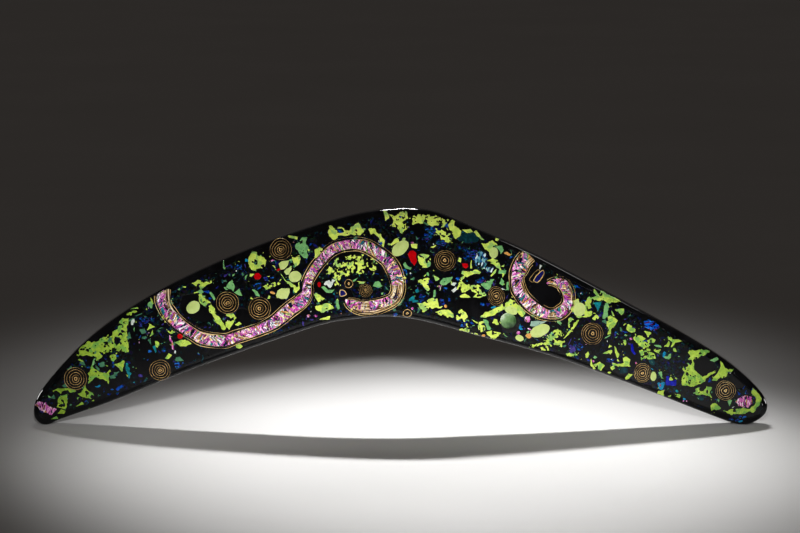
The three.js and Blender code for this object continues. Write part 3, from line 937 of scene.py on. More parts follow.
# Gilt stretches: first and last station, and from where to where across, -1 to 1
SERPENT_GILT = [(-1, 2.3, 0.25, 2), (4, 6, 0.55, 2), (24.6, 26.3, -2, 2),
                (26, 29.5, 0.3, 2), (28.2, 28.9, -2, 2)]
CURL_GILT = [(-1, 1.3, 0.15, 2), (3.4, 5.6, 0.4, 2), (8.0, 8.9, -2, 0.4), (11, 12.4, -2, -0.35)]
serpent = build_ribbon("serpent_ribbon", SERPENT, SERPENT_CUTS, SERPENT_GILT, seed=3)
curl = build_ribbon("curl_ribbon", CURL, CURL_CUTS, CURL_GILT, seed=70)
build_edging("serpent_edging", serpent, seed=5)
build_edging("curl_edging", curl, seed=8)
build_dashes("serpent", serpent, seed=12)
build_dashes("curl", curl, seed=13)


# ---------------------------------------------------------------- shards

def shard_field(loops, seed, lace, rag):
    """Negative inside the first loop, outside the others, with a ragged edge and pits."""
    def field(x, z):
        def warp(k):
            return rag * (1.3 * noise(x, z, 3.6, seed + k) + 0.6 * noise(x, z, 1.6, seed + k + 1))

        warped_x, warped_z = x + warp(5), z + warp(7)
        value = (outline_distance(warped_x, warped_z, loops[0])
                 + rag * 0.35 * noise(x, z, 1.1, seed + 1) - 0.25 * rag)
        for window in loops[1:]:
            value = np.maximum(value, -outline_distance(warped_x, warped_z, window))
        grain = noise(x, z, 1.7, seed + 2) + 0.6 * noise(x, z, 0.8, seed + 3)
        value = np.maximum(value, grain - (1.2 - 1.3 * lace))
        if lace:
            bites = noise(x, z, 4.0, seed + 9) + 0.4 * noise(x, z, 1.5, seed + 10)
            value = np.maximum(value, (bites - 0.42 - 0.16 * np.maximum(-value, 0)) * 2.0)
        return value
    return field


def turned_points(x, z, u, v, turn):
    """Points (u, v) turned by an angle and moved to (x, z)."""
    return np.column_stack([x + u * math.cos(turn) - v * math.sin(turn),
                            z + u * math.sin(turn) + v * math.cos(turn)])


def round_loop(x, z, rx, rz, lean=0.0, sides=28):
    angle = np.arange(sides) * 2 * math.pi / sides
    return turned_points(x, z, rx * np.cos(angle), rz * np.sin(angle), math.radians(lean))


# How lacy each CAD shard is, and windows too small for its solid: x, z and radius
LACE = {"lime_shard_right_lower": 0.85, "lime_shard_right_bow": 0.3, "lime_shard_bend": 0.40,
        "lime_shard_left_arm": 0.34, "lime_shard_right_middle": 0.3}
WINDOWS = {
    "lime_shard_left_arm": [(-226.3, 78, 1.2), (-233, 62.5, 2.0), (-255, 63, 1.7),
                            (-249.5, 61, 1.2), (-241, 66, 0.9)],
    "lime_shard_by_first_ring": [(-246, 42.3, 0.8)],
    "lime_shard_bend": [(13, 172.5, 0.7), (20, 169, 0.7), (29, 168.6, 0.8), (2, 171, 0.9),
                        (5, 163.5, 0.7)],
    "lime_shard_bend_left": [(-36, 161, 0.8), (-43, 159, 0.6)],
    "lime_shard_under_bend": [(20, 98.6, 0.8), (22, 96, 0.8), (27, 104, 0.4)],
    "lime_shard_under_curl": [(89.5, 100.7, 0.8), (92.3, 101.6, 1.3)],
    "lime_shard_right_bow": [(231.6, 49.3, 1.2), (234.5, 43.2, 1.5), (236.7, 37.6, 0.8),
                             (232.9, 46.4, 0.7), (239.8, 41.5, 0.7), (233.8, 36.8, 0.6)],
    "lime_shard_right_middle": [(204.5, 62.5, 0.8)],
}
# CAD inlays drawn as shards: how their names start, their look and their material slot
CAD_SHARD_LOOKS = [
    ("lime_shard", "lime", "lime_glass"), ("jade_shard", "jade", "jade_glass"),
    ("red_drop", "red", "red_glass"), ("teal_triangle", "teal", "teal_glass"),
    ("mosaic_chip", "mosaic", "mosaic_glass"),
]


def build_cad_shards():
    """Ragged glass in place of the CAD shards, with their own outlines."""
    for node in sorted(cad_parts):
        for start, look, slot in CAD_SHARD_LOOKS:
            if not node.startswith(start):
                continue
            loops = plane_loops(node, INLAY_BACK)
            loops += [round_loop(x, z, r, r) for x, z, r in WINDOWS.get(node, ())]
            calm = start in ("red_drop", "teal_triangle")
            field = shard_field(loops, 100 + len(node), LACE.get(node, 0.0 if calm else 0.08),
                                0.3 if calm else 0.75)
            corners, faces = inlay_patch(field, box_of(loops))
            add_piece(f"{node}_glass", corners, faces, look, [node])


def layer(loop, name, look, shallow, deep, nodes=(), crown=0.12, crown_width=0.8, rise=0.0,
          seed=300, rag=0.15):
    """A band of an inlay: from shallow to deep millimetres inside its outline."""
    def field(x, z):
        gap = outline_distance(x, z, loop) + rag * noise(x, z, 2.0, seed)
        return np.maximum(gap + shallow, -(gap + deep))

    corners, faces = inlay_patch(field, box_of([loop]), crown, crown_width, 0.3)
    corners[:len(corners) // 2, 1] -= rise
    add_piece(name, corners, faces, look, nodes)


def build_cad_gems():
    """The drops, tip chips, dome and framed stones in place of their CAD nodes."""
    whole = 50.0  # deeper than any inlay is wide, so the band reaches its middle
    stone_step = 0.5
    for node in sorted(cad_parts):
        if node.startswith("lime_cabochon"):
            layer(plane_loops(node, INLAY_BACK)[0], f"{node}_drop", "cabochon",
                  -0.2, whole, [node], crown=0.7, crown_width=3.5)
    left_tip = np.array([(-298.5, 17), (-294, 20.8), (-281, 13.5), (-285, 8.3), (-291, 11)])
    right_tip = plane_loops("pink_chip_right_tip", INLAY_BACK)[0]
    for loop, node in ((left_tip, "pink_chip_left_tip"), (right_tip, "pink_chip_right_tip")):
        layer(loop, f"{node}_glass", "pink", 0.0, whole, [node], rag=1.0)
    dome = plane_loops("green_dome", INLAY_BACK)[0]
    layer(dome, "green_dome_drop", "dome", 0.0, whole, ["green_dome"],
          crown=0.9, crown_width=5.0)
    # The dark disc offset below and right of the dome is its painted shadow
    layer(round_loop(89.4, 85.0, 8.2, 8.0), "dome_shadow", "smoke", 0.0, whole)
    chip = plane_loops("blue_striped_chip", INLAY_BACK)[0]
    layer(chip, "blue_striped_chip_glass", "blue_striped", -0.2, whole,
          ["blue_striped_chip"], rag=0.9)
    for node, name in (("serpent_head_stone", "serpent_head"), ("curl_eye_stone", "curl_eye")):
        loop = even_loop(plane_loops(node, INLAY_BACK)[0], stone_step)
        layer(loop, f"{name}_stone", "navy", 0.75, whole, [node])
        layer(loop, f"{name}_frame", "bold_bronze", 0.1, 0.72, rise=0.05)
    # A second thin frame to the left of the eye, which is the last stone drawn
    layer(loop - (3.4, -0.4), "curl_eye_echo", "bronze", 0.1, 0.45, rise=-0.02)


build_cad_shards()
build_cad_gems()


# Smaller inlays laid between the CAD ones: outlines as x, z, x, z, ... in millimetres
LIME_SHARDS = [
    (-223, 92, -219, 95, -214, 95, -217, 91), (-221, 96, -214, 98, -213, 97), (-233, 51, -229, 52,
    -225, 54, -226, 49, -226, 44.5, -229, 48), (-284.5, 29, -278, 31, -270, 30.5, -264, 28.5, -270,
    27, -279, 27), (-281, 15, -279, 24, -273, 26, -271, 20, -274, 14), (-280, 9.5, -277, 13, -274,
    12.5, -275, 10), (-286, 5, -281, 8, -280, 5.5), (-264, 26, -260, 28, -257, 34, -255.5, 28.5,
    -251, 27.5, -250.5, 20, -254, 23, -260, 24), (-265, 16, -260, 20, -258.5, 18), (-257, 12, -254,
    14.5, -253.5, 12.5), (-204, 84.5, -199.5, 82, -203, 80.5, -206, 79), (-203.5, 106, -202, 104.5,
    -200.5, 101, -202.2, 101.5), (-183, 69.5, -180, 66, -174, 65.5, -170, 68.5, -174, 71.5), (-190,
    80, -186, 79.5, -181, 76, -183, 75, -189, 77.5), (-199.5, 72, -197, 69, -195, 62.5, -197, 61.5,
    -199.8, 67), (-192, 56, -189, 60, -186, 58.5, -189, 55.5), (-169, 118, -165, 120.5, -160, 120,
    -160, 117.5, -153.5, 120.5, -153, 119, -160, 115.5, -161, 112.5, -163, 112, -165, 115), (-143,
    90, -142, 93.5, -136, 93.5, -134, 90, -136, 85, -140, 79, -142, 82), (-134.5, 84, -131, 86,
    -129, 84.5, -132, 83), (-134, 66.5, -131, 67.8, -128, 65.5, -130, 63.8, -133, 64.5), (-112, 115,
    -105, 118, -98, 120.5, -96, 118, -104, 115, -108.5, 112.5), (-104, 133, -102.6, 132.4, -97,
    124.4, -91.5, 118, -88, 113.5, -85, 110.5, -82.5, 114, -82, 119, -87, 116.5, -92, 119.5, -97.5,
    125.5), (-91, 156.5, -83.5, 156, -84, 154, -90, 155), (-70, 145, -66, 147.5, -63, 146, -66, 141,
    -69, 139), (-70, 108, -68, 110, -62, 105, -67, 102), (-69, 99, -64, 100.5, -58, 101.5, -54, 97,
    -60, 95, -64, 92.5, -68, 96), (-66, 88, -57, 91, -58, 87.5), (-26, 163, -22, 164, -20, 160, -24,
    158), (-20, 160, -16, 158.5, -14, 153, -16, 151.5, -18, 156, -22, 158.5), (-10, 150, -4, 153.5,
    4, 156.5, 5, 155, -2, 151.5, -8, 148.5), (-14, 176.5, -11, 177, -9, 172, -12, 169), (41, 170,
    43, 169, 44, 165, 48, 162, 50, 160, 49, 157, 45, 154, 42, 160, 38, 166), (50, 161.5, 57, 162.5,
    58.5, 160, 54, 159.5), (59, 160, 62, 160.5, 65, 156, 68, 153.5, 65.5, 153.5, 61, 157.5), (66,
    150.5, 71, 150.5, 74.5, 153, 78.5, 150, 75, 148, 72.5, 143, 69, 146), (70, 137, 75, 139, 79,
    136, 82, 128, 78, 131), (15, 141, 19, 141.5, 23, 141, 21, 138, 20, 137, 22, 131, 17, 131, 14,
    136), (8, 150, 14, 150, 13, 146, 9, 147), (14, 120, 17, 121.5, 23.5, 122, 24.5, 119, 22.5, 117,
    24, 113, 22, 112, 19, 115), (27, 124.5, 32, 121.5, 28.5, 119.2), (49, 124, 50, 128, 53, 128.5,
    62, 128.5, 65, 127.5, 64, 126, 58, 125.5, 52, 122, 49, 120), (45, 113, 46, 117, 50, 119, 53,
    117, 56, 117, 56, 113, 53, 110.5, 49, 111), (59, 106, 65, 107.5, 69, 107.8, 64, 106), (48, 107,
    52, 109, 55, 107.5, 57, 106, 53, 106, 49, 105.8), (45.5, 90, 47, 94, 50, 96.5, 52, 96, 54.5, 91,
    52, 88, 53.5, 84.5, 55, 81, 52.3, 84, 50.5, 89.5, 46, 87.3), (47, 79, 54.5, 81.5, 59, 76.2,
    55.5, 74.7, 50, 75.6), (60, 76.8, 62.5, 76, 64.6, 73, 60.4, 73.4), (58, 87.8, 62, 86, 68, 86.5,
    69, 84, 68.4, 79, 64.5, 77.2, 63, 81.5, 61.5, 84.5), (74.5, 84.5, 76, 88, 79, 88, 80, 83.5, 78,
    81.3, 75, 82), (80, 87, 83.5, 84, 83.5, 80), (69, 77.4, 74, 78.3, 82, 76.7, 78.5, 73.5, 75.2,
    69.3, 73, 73.5), (144.5, 88, 143, 87.5, 140, 82, 134.5, 75, 133, 72.6, 137, 75.5, 141, 80.5),
    (136, 88.5, 138.5, 89.5, 141, 88.3, 138.8, 82.3, 136.2, 82), (139, 95, 141, 104, 144.5, 104.5,
    145, 101, 149, 99.5, 152, 102, 156, 98, 155.5, 92, 152, 89.8, 145, 89, 142, 91), (150, 101, 152,
    106, 156, 108.5, 159, 107, 156, 104.5, 154, 101), (157.5, 113.5, 159, 112, 161.3, 107.3, 159.5,
    107, 157, 110.5), (174, 95.5, 177, 96.5, 182.5, 96.5, 181.5, 93, 180, 91.5, 178.5, 93, 176,
    94.5), (171.5, 95.5, 173, 93, 174, 90.5, 172, 91.5), (164, 90, 168, 89.5, 171, 91.5, 173, 89.4,
    177.4, 87.4, 175.5, 84, 173, 81, 171, 79, 171.5, 76, 168, 75.2, 170, 79, 168, 83, 167.9, 86.6),
    (156, 88.5, 159, 92, 162, 90.5, 159, 86.5), (184, 84, 187, 83.5, 191, 79, 190.5, 77, 187, 77,
    184, 80), (198, 79, 204.7, 77, 201.5, 73.4), (181, 71, 183.5, 71, 184, 67.5, 182, 65, 180, 68),
    (173, 52, 176, 51.5, 182, 52.5, 181, 56.5, 184, 56.5, 187.5, 55, 186.5, 51, 188, 49.3, 180,
    49.5, 174, 50.5), (155.5, 56, 156.5, 51.5, 159.5, 47, 158, 46.3, 155, 50.5), (157.7, 50.7,
    162.5, 52.7, 166.2, 49.8, 163.5, 45.3, 160.5, 48.5), (150.5, 59.5, 152.5, 61.5, 153.5, 59, 152,
    55.5, 150.5, 57), (165, 60, 169, 62.5, 172.5, 63, 172, 60.5, 168, 59.8), (174.5, 66, 176, 62.5,
    178, 59, 176.5, 54, 178.5, 53.5, 176, 57.5, 174.5, 61.5), (135, 59.5, 138.5, 60.5, 142.5, 59.2,
    140.5, 57.8, 136.5, 58), (200.8, 71, 204, 72.3, 207.5, 71, 206.5, 68.5, 202, 68.8), (206, 62.5,
    210, 60, 212, 63.3), (214.7, 65.6, 220.9, 64.7, 223, 68.5, 229, 70.2, 225.5, 71.8, 221.5, 71.5,
    220.2, 74.5, 217.5, 73.8, 219, 70.5, 217, 68), (222, 62, 224.8, 61.3, 224, 64.2, 222.3, 64),
    (208, 29.5, 211, 29, 216, 30, 214.3, 26.5, 215.5, 23, 211.5, 25, 207, 24.5, 209.8, 27), (218,
    24.2, 221, 25.5, 220.5, 23.5), (224, 24.5, 228.5, 24.3, 227.8, 22.8), (183.5, 40, 186, 43.5,
    189.5, 42.5, 186, 39, 183.7, 38.2), (171, 48, 173.5, 50, 174.8, 47.5, 173, 46.2), (168.7, 44.2,
    170.5, 45.3, 171.8, 43.8, 170, 43), (261.2, 53.4, 264.9, 48.3, 271.8, 46.8, 267.1, 44.3, 266,
    41.5, 261.2, 39.5, 259, 45, 260.8, 49), (254.7, 39, 258.7, 45, 261, 40, 258, 37.3, 254, 37.5),
    (240.7, 30.8, 247.4, 32.5, 254.3, 31.5, 252.6, 27.5, 255.4, 20, 250.5, 25.5, 246, 26.5, 241.5,
    25), (256.4, 19.8, 261.2, 14.5, 257.5, 11.8, 253.7, 9.4, 254, 16), (77, 154.5, 80, 153.5, 79,
    152, 76.5, 153), (31.5, 83.5, 33.5, 82.5, 35, 80.2, 32, 81.5), (47.5, 139, 49.5, 138.5, 49, 135,
    46.8, 136), (56.5, 130, 57.5, 137.5, 58, 130.5), (73, 124, 76, 128, 78.5, 130, 77, 126.5, 74,
    123.5), (82.5, 126.5, 84.5, 125.5, 83, 122.5), (246, 39.5, 257, 45, 256, 43.5, 247, 38.5), (-88,
    141, -84, 140, -81, 139, -82, 134.5, -85, 131, -87.5, 137), (219, 39, 220.5, 41, 222.6, 37.9,
    219.3, 37.4),
]
MOSAIC_SHARDS = [
    (60.3, 137.5, 62, 141, 65.5, 144, 69, 142, 69.5, 138, 72, 136, 71, 132, 66, 131.5, 63, 134,
    60.5, 134.5),
]
GREY_JADE_SHARDS = [(105.4, 82.8, 106.4, 86.9, 118.5, 86.3, 111.2, 82.1)]
LACY_SHARDS = [
    (-62, 127, -56, 134, -50, 140, -40, 142, -28, 141, -18, 136, -20, 128, -22, 121, -30, 127, -38,
    126, -46, 123, -50, 114, -53, 118, -54, 124), (26, 164, 34, 161, 40, 158, 42, 152, 38, 150, 32,
    153, 27, 158), (57, 116, 60, 117, 64, 114.5, 69, 111, 69, 108, 62, 106.5, 59, 106, 62, 110, 57,
    113), (118, 75, 124, 78, 130, 79.5, 133, 78, 131, 74, 122, 72),
]
JADE_SHARDS = [
    (-165, 111, -162, 113, -160, 110, -163, 108.8), (-157, 106, -154, 111, -150, 105, -151, 103.5,
    -153.5, 107), (-144, 136, -143.2, 136, -142.5, 129, -143.8, 129.5), (-142, 114, -139, 118,
    -136.5, 121, -135, 115, -136, 111, -138, 113), (-135, 110, -131, 113, -128.5, 107, -131, 107.5),
    (-121, 113, -117, 112.5, -114, 106.5, -117.5, 107.5), (-64, 115, -60, 110, -56, 110, -53, 114,
    -55, 112.2, -59, 112.2, -62, 115.5), (-22, 115.5, -21, 119, -17.5, 120, -15, 115.5, -18, 114.5),
    (-52, 104, -50.5, 103.5, -49.5, 97, -51, 96, -52.5, 99.5), (27, 112, 28.6, 112.5, 28.8, 106.8,
    26.8, 106.2), (77, 148, 82, 149, 83.5, 145.5, 81.5, 141.5, 80, 144.5), (80.5, 118, 82, 122.5,
    84, 119.5, 82.5, 115.8), (209, 59.5, 213, 58, 216, 55.5, 219, 55, 220.5, 60, 218.8, 59.5, 217.5,
    57, 214, 57.5, 211, 60), (206, 67, 212, 66.5, 213, 65, 208, 65.4), (2, 133.5, 4, 135, 6, 131.5,
    9, 131, 8, 129.3, 4, 130.5), (20.5, 133.5, 24.3, 136, 24, 132, 21.5, 130.5), (67.5, 88, 70.5,
    87.5, 73, 82, 74.5, 79.3, 71.5, 78.6, 69.5, 82.5), (85, 74.5, 87.5, 73.2, 83.5, 76.5), (86,
    118.5, 87.5, 119, 88, 112, 86.6, 112.3), (252, 54.5, 258, 56.5, 259.5, 55, 255.5, 53), (-207,
    103, -203, 96.5, -201.5, 101, -203, 103.5), (18.5, 84.5, 20, 86.5, 21.5, 84), (258.5, 21.5,
    260.5, 21.5, 260, 19.2), (268, 21, 270.5, 21, 269.5, 17.5), (210, 44, 213, 45, 213.5, 39), (157,
    56.8, 158.5, 58.3, 160.4, 56.8, 158.5, 55.4),
]
DARK_JADE_SHARDS = [
    (-272, 47, -268, 50, -266, 45, -270, 43), (-262, 52, -258, 54, -257, 50), (-268, 40, -264, 38,
    -266, 36), (-246, 52, -242, 53, -241, 49, -245, 48.5), (-224, 75, -220, 77, -219, 72, -222, 71),
    (-237, 41, -233, 43, -232, 39.5, -236, 38.5), (-185, 55.5, -180, 57, -177, 54, -182, 52.5),
    (-212, 79, -208, 81, -207, 77, -210.5, 76), (-276, 33, -272, 35.5, -270, 33, -274, 31.5), (-262,
    31, -259, 33.5, -257.5, 30.5), (-286, 23, -283, 26, -281.5, 22), (-239, 70, -236, 74, -234, 71,
    -237, 68),
]
PALE_SHARDS = [
    (41, 116.5, 43, 118.5, 45.5, 118, 44, 115.6), (-62, 117, -60, 119.5, -55, 121.5, -53, 120, -57,
    113.5, -59, 115), (41, 112, 45, 115, 46, 113, 43, 110.2), (7.2, 126, 8, 126.8, 8.9, 126, 8,
    125.2),
]
CABOCHON_SHARDS = [
    (-99, 134, -96, 136, -90.5, 136.5, -91, 133, -94, 129.5, -97, 129), (-94.5, 127.5, -93, 125,
    -90.5, 125, -88, 130, -89, 131.5, -92, 130), (-101, 108, -99.5, 112, -96.5, 113.5, -90, 113.5,
    -90, 110, -92, 105.5, -97, 105, -100, 106.5),
]
RED_SHARDS = [
    (50, 134.5, 54.5, 134, 55, 131.5, 53, 129.8, 50.5, 131), (-119, 123.5, -117.5, 126.1, -114.5,
    126.1, -113, 123.5, -114.5, 120.9, -117.5, 120.9),
]
# Round and oval inlays: x, z, half width, half height, lean in degrees
# A painted glint: this small white oval stands in for a highlight on a bump of the glass
PAINTED_GLINT_OVALS = [(-217.8, 85.9, 1.3, 2.6, -20)]
CABOCHON_OVALS = [
    (75.5, 143, 3.6, 4.6), (90, 95.5, 5.2, 3.6, -20), (96.9, 72.6, 3.6, 2.4, -20), (206.2, 40.9,
    2.4, 3.9), (143, 102.5, 2.2, 2),
]
RED_OVALS = [
    (-179.5, 74, 2.2, 2.2), (-99, 129, 1.8, 0.9, 25), (-66, 117, 1.3, 2.3), (212, 33.5, 1, 1.4),
]
BLUE_OVALS = [
    (-238, 26, 1.8, 0.9, 30), (-235, 30, 1.2, 0.8, 10), (-231, 27, 1.4, 0.7, 60), (-255, 49, 1.5, 1,
    20), (-231, 58, 1.6, 1, -30), (-241, 57, 1.3, 1.6), (-202, 88, 1.6, 1.2, 20), (-192, 63, 1.2,
    1.8, 10), (-204, 62, 1.4, 0.8, 40), (-139.5, 132, 2.2, 2), (-116, 117.5, 2.5, 2), (-109, 121.5,
    1.5, 2.5), (-104, 122, 1.2, 0.9), (-62, 149, 1.6, 1, 30), (10, 160, 1.6, 1.2), (21, 162, 1.8,
    1.2, 40), (20, 155, 2.4, 1.2, 35), (48, 147.5, 2, 1, -30), (53.5, 138.5, 2.2, 1.6, 50), (4,
    126.5, 1.8, 2), (36.5, 113, 1.4, 1.2), (34, 103, 1.5, 2.5), (46, 121.5, 1.6, 1), (17.5, 106,
    1.8, 2), (-4.5, 91.5, 2, 2.4), (65, 121, 3.4, 2.6), (66.5, 100.5, 1.3, 1.3), (99.5, 81, 2, 0.7,
    -35), (82.5, 82.3, 1, 1.4), (144, 57, 1.6, 1.2), (152.5, 55, 1, 1.6, 20), (171, 53.5, 2.2, 3,
    -30), (270, 5, 2, 1.2, 10), (275.5, 4, 1.6, 0.9, -20), (281, 6.5, 1.6, 0.9, 20), (287.5, 30,
    0.9, 1.7, -15), (140.2, 94, 1, 1), (175.5, 76, 0.8, 2.4, -10), (-180.5, 51, 3, 4),
]
CYAN_OVALS = [
    (-246, 33, 1.3, 0.9, 20), (75.5, 98, 2, 0.8, 15), (97, 81.5, 2.6, 0.7, -35), (215, 59, 1.2, 2.2,
    -10), (212, 33.5, 2.8, 3.4, -15), (96.5, 84, 1.8, 0.6, -30), (232, 22, 1.1, 0.7), (278, 3.5,
    1.6, 0.8),
]
TEAL_OVALS = [
    (-222, 45, 1.5, 6.5, 12), (13.5, 112, 1.6, 1.4), (9, 105, 1.2, 2.4, -40), (12, 103, 2.2, 0.8,
    20), (225.5, 28.5, 1.2, 1),
]
VIOLET_OVALS = [(-212, 42, 1.6, 1.2), (162.5, 91.5, 1.4, 1), (139.5, 65, 3, 4.6, 20)]
OPAL_OVALS = [
    (28, 161.5, 5.5, 3.5, 25), (33, 152, 4.5, 3), (22, 157, 3.5, 3.8), (57, 143, 5.5, 4, -15), (51,
    85, 4.6, 2.6, 10), (61, 138, 3, 2.6), (-208, 88, 3.6, 3), (-132, 131, 3.5, 2.5, 10), (145, 66,
    3.4, 4.2, 10),
]
COBALT_SHARDS = [
    (216.5, 41, 218.5, 40.7, 219.5, 37.6, 222.5, 37.2, 224.8, 38.5, 225, 33.6, 216.8, 33.8), (187.3,
    67, 189, 68.4, 189.8, 63, 192.2, 59.6, 190.6, 58.8, 188, 62.5),
]
TEAL_DARK_OVALS = [
    (54, 156, 9.5, 4.8, -8), (205, 53, 2.2, 2.6), (182, 46, 3.2, 2.6), (245, 23, 2.6, 1.6, -15),
]
ORANGE_OVALS = [
    (36.5, 99, 1.1, 1), (67.5, 74, 1.5, 1, 20), (104.3, 74.8, 2, 2.2), (-104, 110.3, 2, 0.8, -20),
    (86.8, 142, 2.4, 1, -20),
]
PINK_OVALS = [
    (-186.5, 69, 0.9, 6.2, 14), (-75, 91, 1.6, 1, 20), (-69, 91, 1.4, 1, -20), (103, 88.2, 2.3,
    2.3), (95.9, 77, 1.5, 1.5), (104.8, 80, 1.8, 0.6, -30), (231.5, 20.5, 1, 0.8), (234, 20.5, 0.8,
    0.8), (10, 151, 0.9, 0.9), (9.5, 97, 0.9, 0.9), (187.5, 71.8, 1.2, 0.9), (192, 51.8, 0.9, 0.9),
    (157, 53.3, 1.1, 0.8),
]


# Each mesh of inlays of one glass: its name, look, slot, outlines and ovals, how lacy they are, how
# high and how wide their crown is, how ragged they are, and their seed
INLAYS = [
    ("opal_pieces", "opal", "blue_glass", [], OPAL_OVALS, 0.35, 0.03, 0.6, 1.6, 330),
    ("dark_teal_pieces", "teal_dark", "teal_glass", [], TEAL_DARK_OVALS, 0, 0.02, 2, 0.6, 350),
    ("lime_pieces", "lime", "lime_glass", LIME_SHARDS, [], 0.06, 0.1, 0.7, 0.55, 200),
    ("lacy_lime_pieces", "lime", "lime_glass", LACY_SHARDS, [], 0.9, 0.1, 0.7, 0.9, 640),
    ("jade_pieces", "jade", "jade_glass", JADE_SHARDS, [], 0.06, 0.1, 0.7, 0.5, 700),
    ("dark_jade_pieces", "jade_dark", "jade_glass", DARK_JADE_SHARDS, [], 0.06, 0.1, 0.7, 0.6, 780),
    # Pale pieces, and the painted glint drawn in the same white glass
    ("pale_pieces_and_glint", "white", "jade_glass", PALE_SHARDS, PAINTED_GLINT_OVALS, 0.06, 0.1, 0.7, 0.4, 860),
    ("mosaic_pieces", "mosaic", "mosaic_glass", MOSAIC_SHARDS, [], 0.06, 0.1, 0.7, 0.5, 880),
    ("grey_jade_pieces", "pale", "jade_glass", GREY_JADE_SHARDS, [], 0.06, 0.1, 0.7, 0.3, 870),
    ("cabochon_pieces", "cabochon", "lime_cabochon_glass", CABOCHON_SHARDS, CABOCHON_OVALS,
     0, 0.5, 2.5, 0.15, 900),
    ("red_pieces", "red", "red_glass", RED_SHARDS, RED_OVALS, 0, 0.12, 0.8, 0.2, 940),
    ("blue_pieces", "opal", "blue_glass", [], BLUE_OVALS, 0, 0.08, 0.5, 2.4, 400),
    ("cyan_pieces", "cyan", "blue_glass", [], CYAN_OVALS, 0, 0.08, 0.5, 1.2, 440),
    ("teal_pieces", "teal", "teal_glass", [], TEAL_OVALS, 0, 0.06, 0.5, 1.2, 460),
    ("violet_pieces", "violet", "blue_glass", [], VIOLET_OVALS, 0.2, 0.06, 0.5, 1.4, 480),
    ("cobalt_pieces", "cobalt", "blue_glass", COBALT_SHARDS, [], 0, 0.08, 0.5, 0.4, 500),
    ("orange_pieces", "orange", "lime_glass", [], ORANGE_OVALS, 0, 0.1, 0.5, 0.8, 520),
    ("pink_pieces", "pink", "pink_iridescent_glass", [], PINK_OVALS, 0, 0.1, 0.6, 0.6, 960),
]
LEAST_LACY = 4  # smaller inlays have no pits, and the smallest have calmer edges and a finer grid


def add_inlays(name, look, slot, outlines, ovals, lace, crown, crown_width, rag, seed):
    loops = [np.array(flat, float).reshape(-1, 2) for flat in outlines]
    loops += [round_loop(*oval) for oval in ovals]
    solids = []
    for k, loop in enumerate(loops):
        reach = math.sqrt(abs(loop_area(loop)))
        field = shard_field([loop], seed + 3 * k, lace if reach > LEAST_LACY else 0,
                            rag * min(1, reach / 6))
        step = min(FACE_STEP, reach / 8)
        solids.append(inlay_patch(field, box_of([loop]), crown, crown_width, step))
    add_solids(name, [solid for solid in solids if solid], look)


for inlays in INLAYS:
    add_inlays(*inlays)


def chip_solid(x, z, radius, rng):
    """A small splinter of glass: a rough polygon, a little raised in the middle."""
    edge_rise, middle_rise, depth = 0.04, 0.09, 0.8
    sides = int(rng.integers(4, 8))
    angle = np.sort(rng.uniform(0, 2 * math.pi, sides)) + np.arange(sides) * 0.02
    reach = radius * rng.uniform(0.55, 1.25, sides)
    stretch, lean = rng.uniform(0.9, 2.2), rng.uniform(0, math.pi)
    flat = turned_points(x, z, reach * np.cos(angle) * stretch,
                         reach * np.sin(angle) / math.sqrt(stretch), lean)
    flat = np.vstack([flat.mean(0), flat])
    k = np.arange(sides)
    faces = [np.column_stack([np.zeros(sides, int), 1 + k, 1 + (k + 1) % sides])]
    return thick_solid(flat, faces, np.array([middle_rise] + [edge_rise] * sides), depth)


# Each frit colour: its look, its share and its material slot
FRIT = [("blue", 0.11, "blue_glass"), ("navy", 0.20, "navy_glass"), ("teal", 0.035, "teal_glass"),
        ("teal_dark", 0.12, "teal_glass"), ("violet", 0.06, "blue_glass"),
        ("cyan", 0.012, "blue_glass"), ("jade", 0.09, "jade_glass"),
        ("jade_dark", 0.18, "jade_glass"), ("lime", 0.15, "lime_glass"),
        ("pink", 0.018, "pink_iridescent_glass"), ("white", 0.008, "jade_glass")]
FRIT_EDGE = 5.5  # how far frit keeps from the slab's edge
LEAST_CHIP, USUAL_CHIP, LARGEST_CHIP = 0.35, 0.45, 2.2  # radii, the usual one on top of the least


def build_frit(count, seed):
    """Splinters scattered in clusters, clear of the rings and of the bare spots."""
    rng = np.random.default_rng(seed)
    clear = list(BARE_SPOTS)
    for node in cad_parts:
        if node.startswith("ring_slice"):
            low, high = (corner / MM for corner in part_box(node))
            clear.append(((low.x + high.x) / 2, (low.z + high.z) / 2, (high.x - low.x) / 2 + 1))
    tries = count * 12
    x = rng.uniform(OUTLINE[:, 0].min(), OUTLINE[:, 0].max(), tries)
    z = rng.uniform(0, OUTLINE[:, 1].max(), tries)
    keep = edge_distance(x, z) > FRIT_EDGE
    for centre_x, centre_z, radius in clear:
        keep &= np.hypot(x - centre_x, z - centre_z) > radius
    clusters = noise(x, z, 16, seed) + 0.5 * noise(x, z, 5, seed + 1)
    keep &= clusters > rng.uniform(-0.9, 0.5, tries)
    odds = np.array([share for _, share, _ in FRIT])
    solids = {look: [] for look, _, _ in FRIT}
    for chip_x, chip_z in zip(x[keep][:count], z[keep][:count]):
        radius = min(LEAST_CHIP + rng.exponential(USUAL_CHIP), LARGEST_CHIP)
        look = rng.choice(list(solids), p=odds / odds.sum())
        solids[look].append(chip_solid(chip_x, chip_z, radius, rng))
    for look, _, slot in FRIT:
        add_solids(f"frit_{look}", solids[look], look, smooth=False)


build_frit(count=1500, seed=77)


# ---------------------------------------------------------------- floor, light and camera

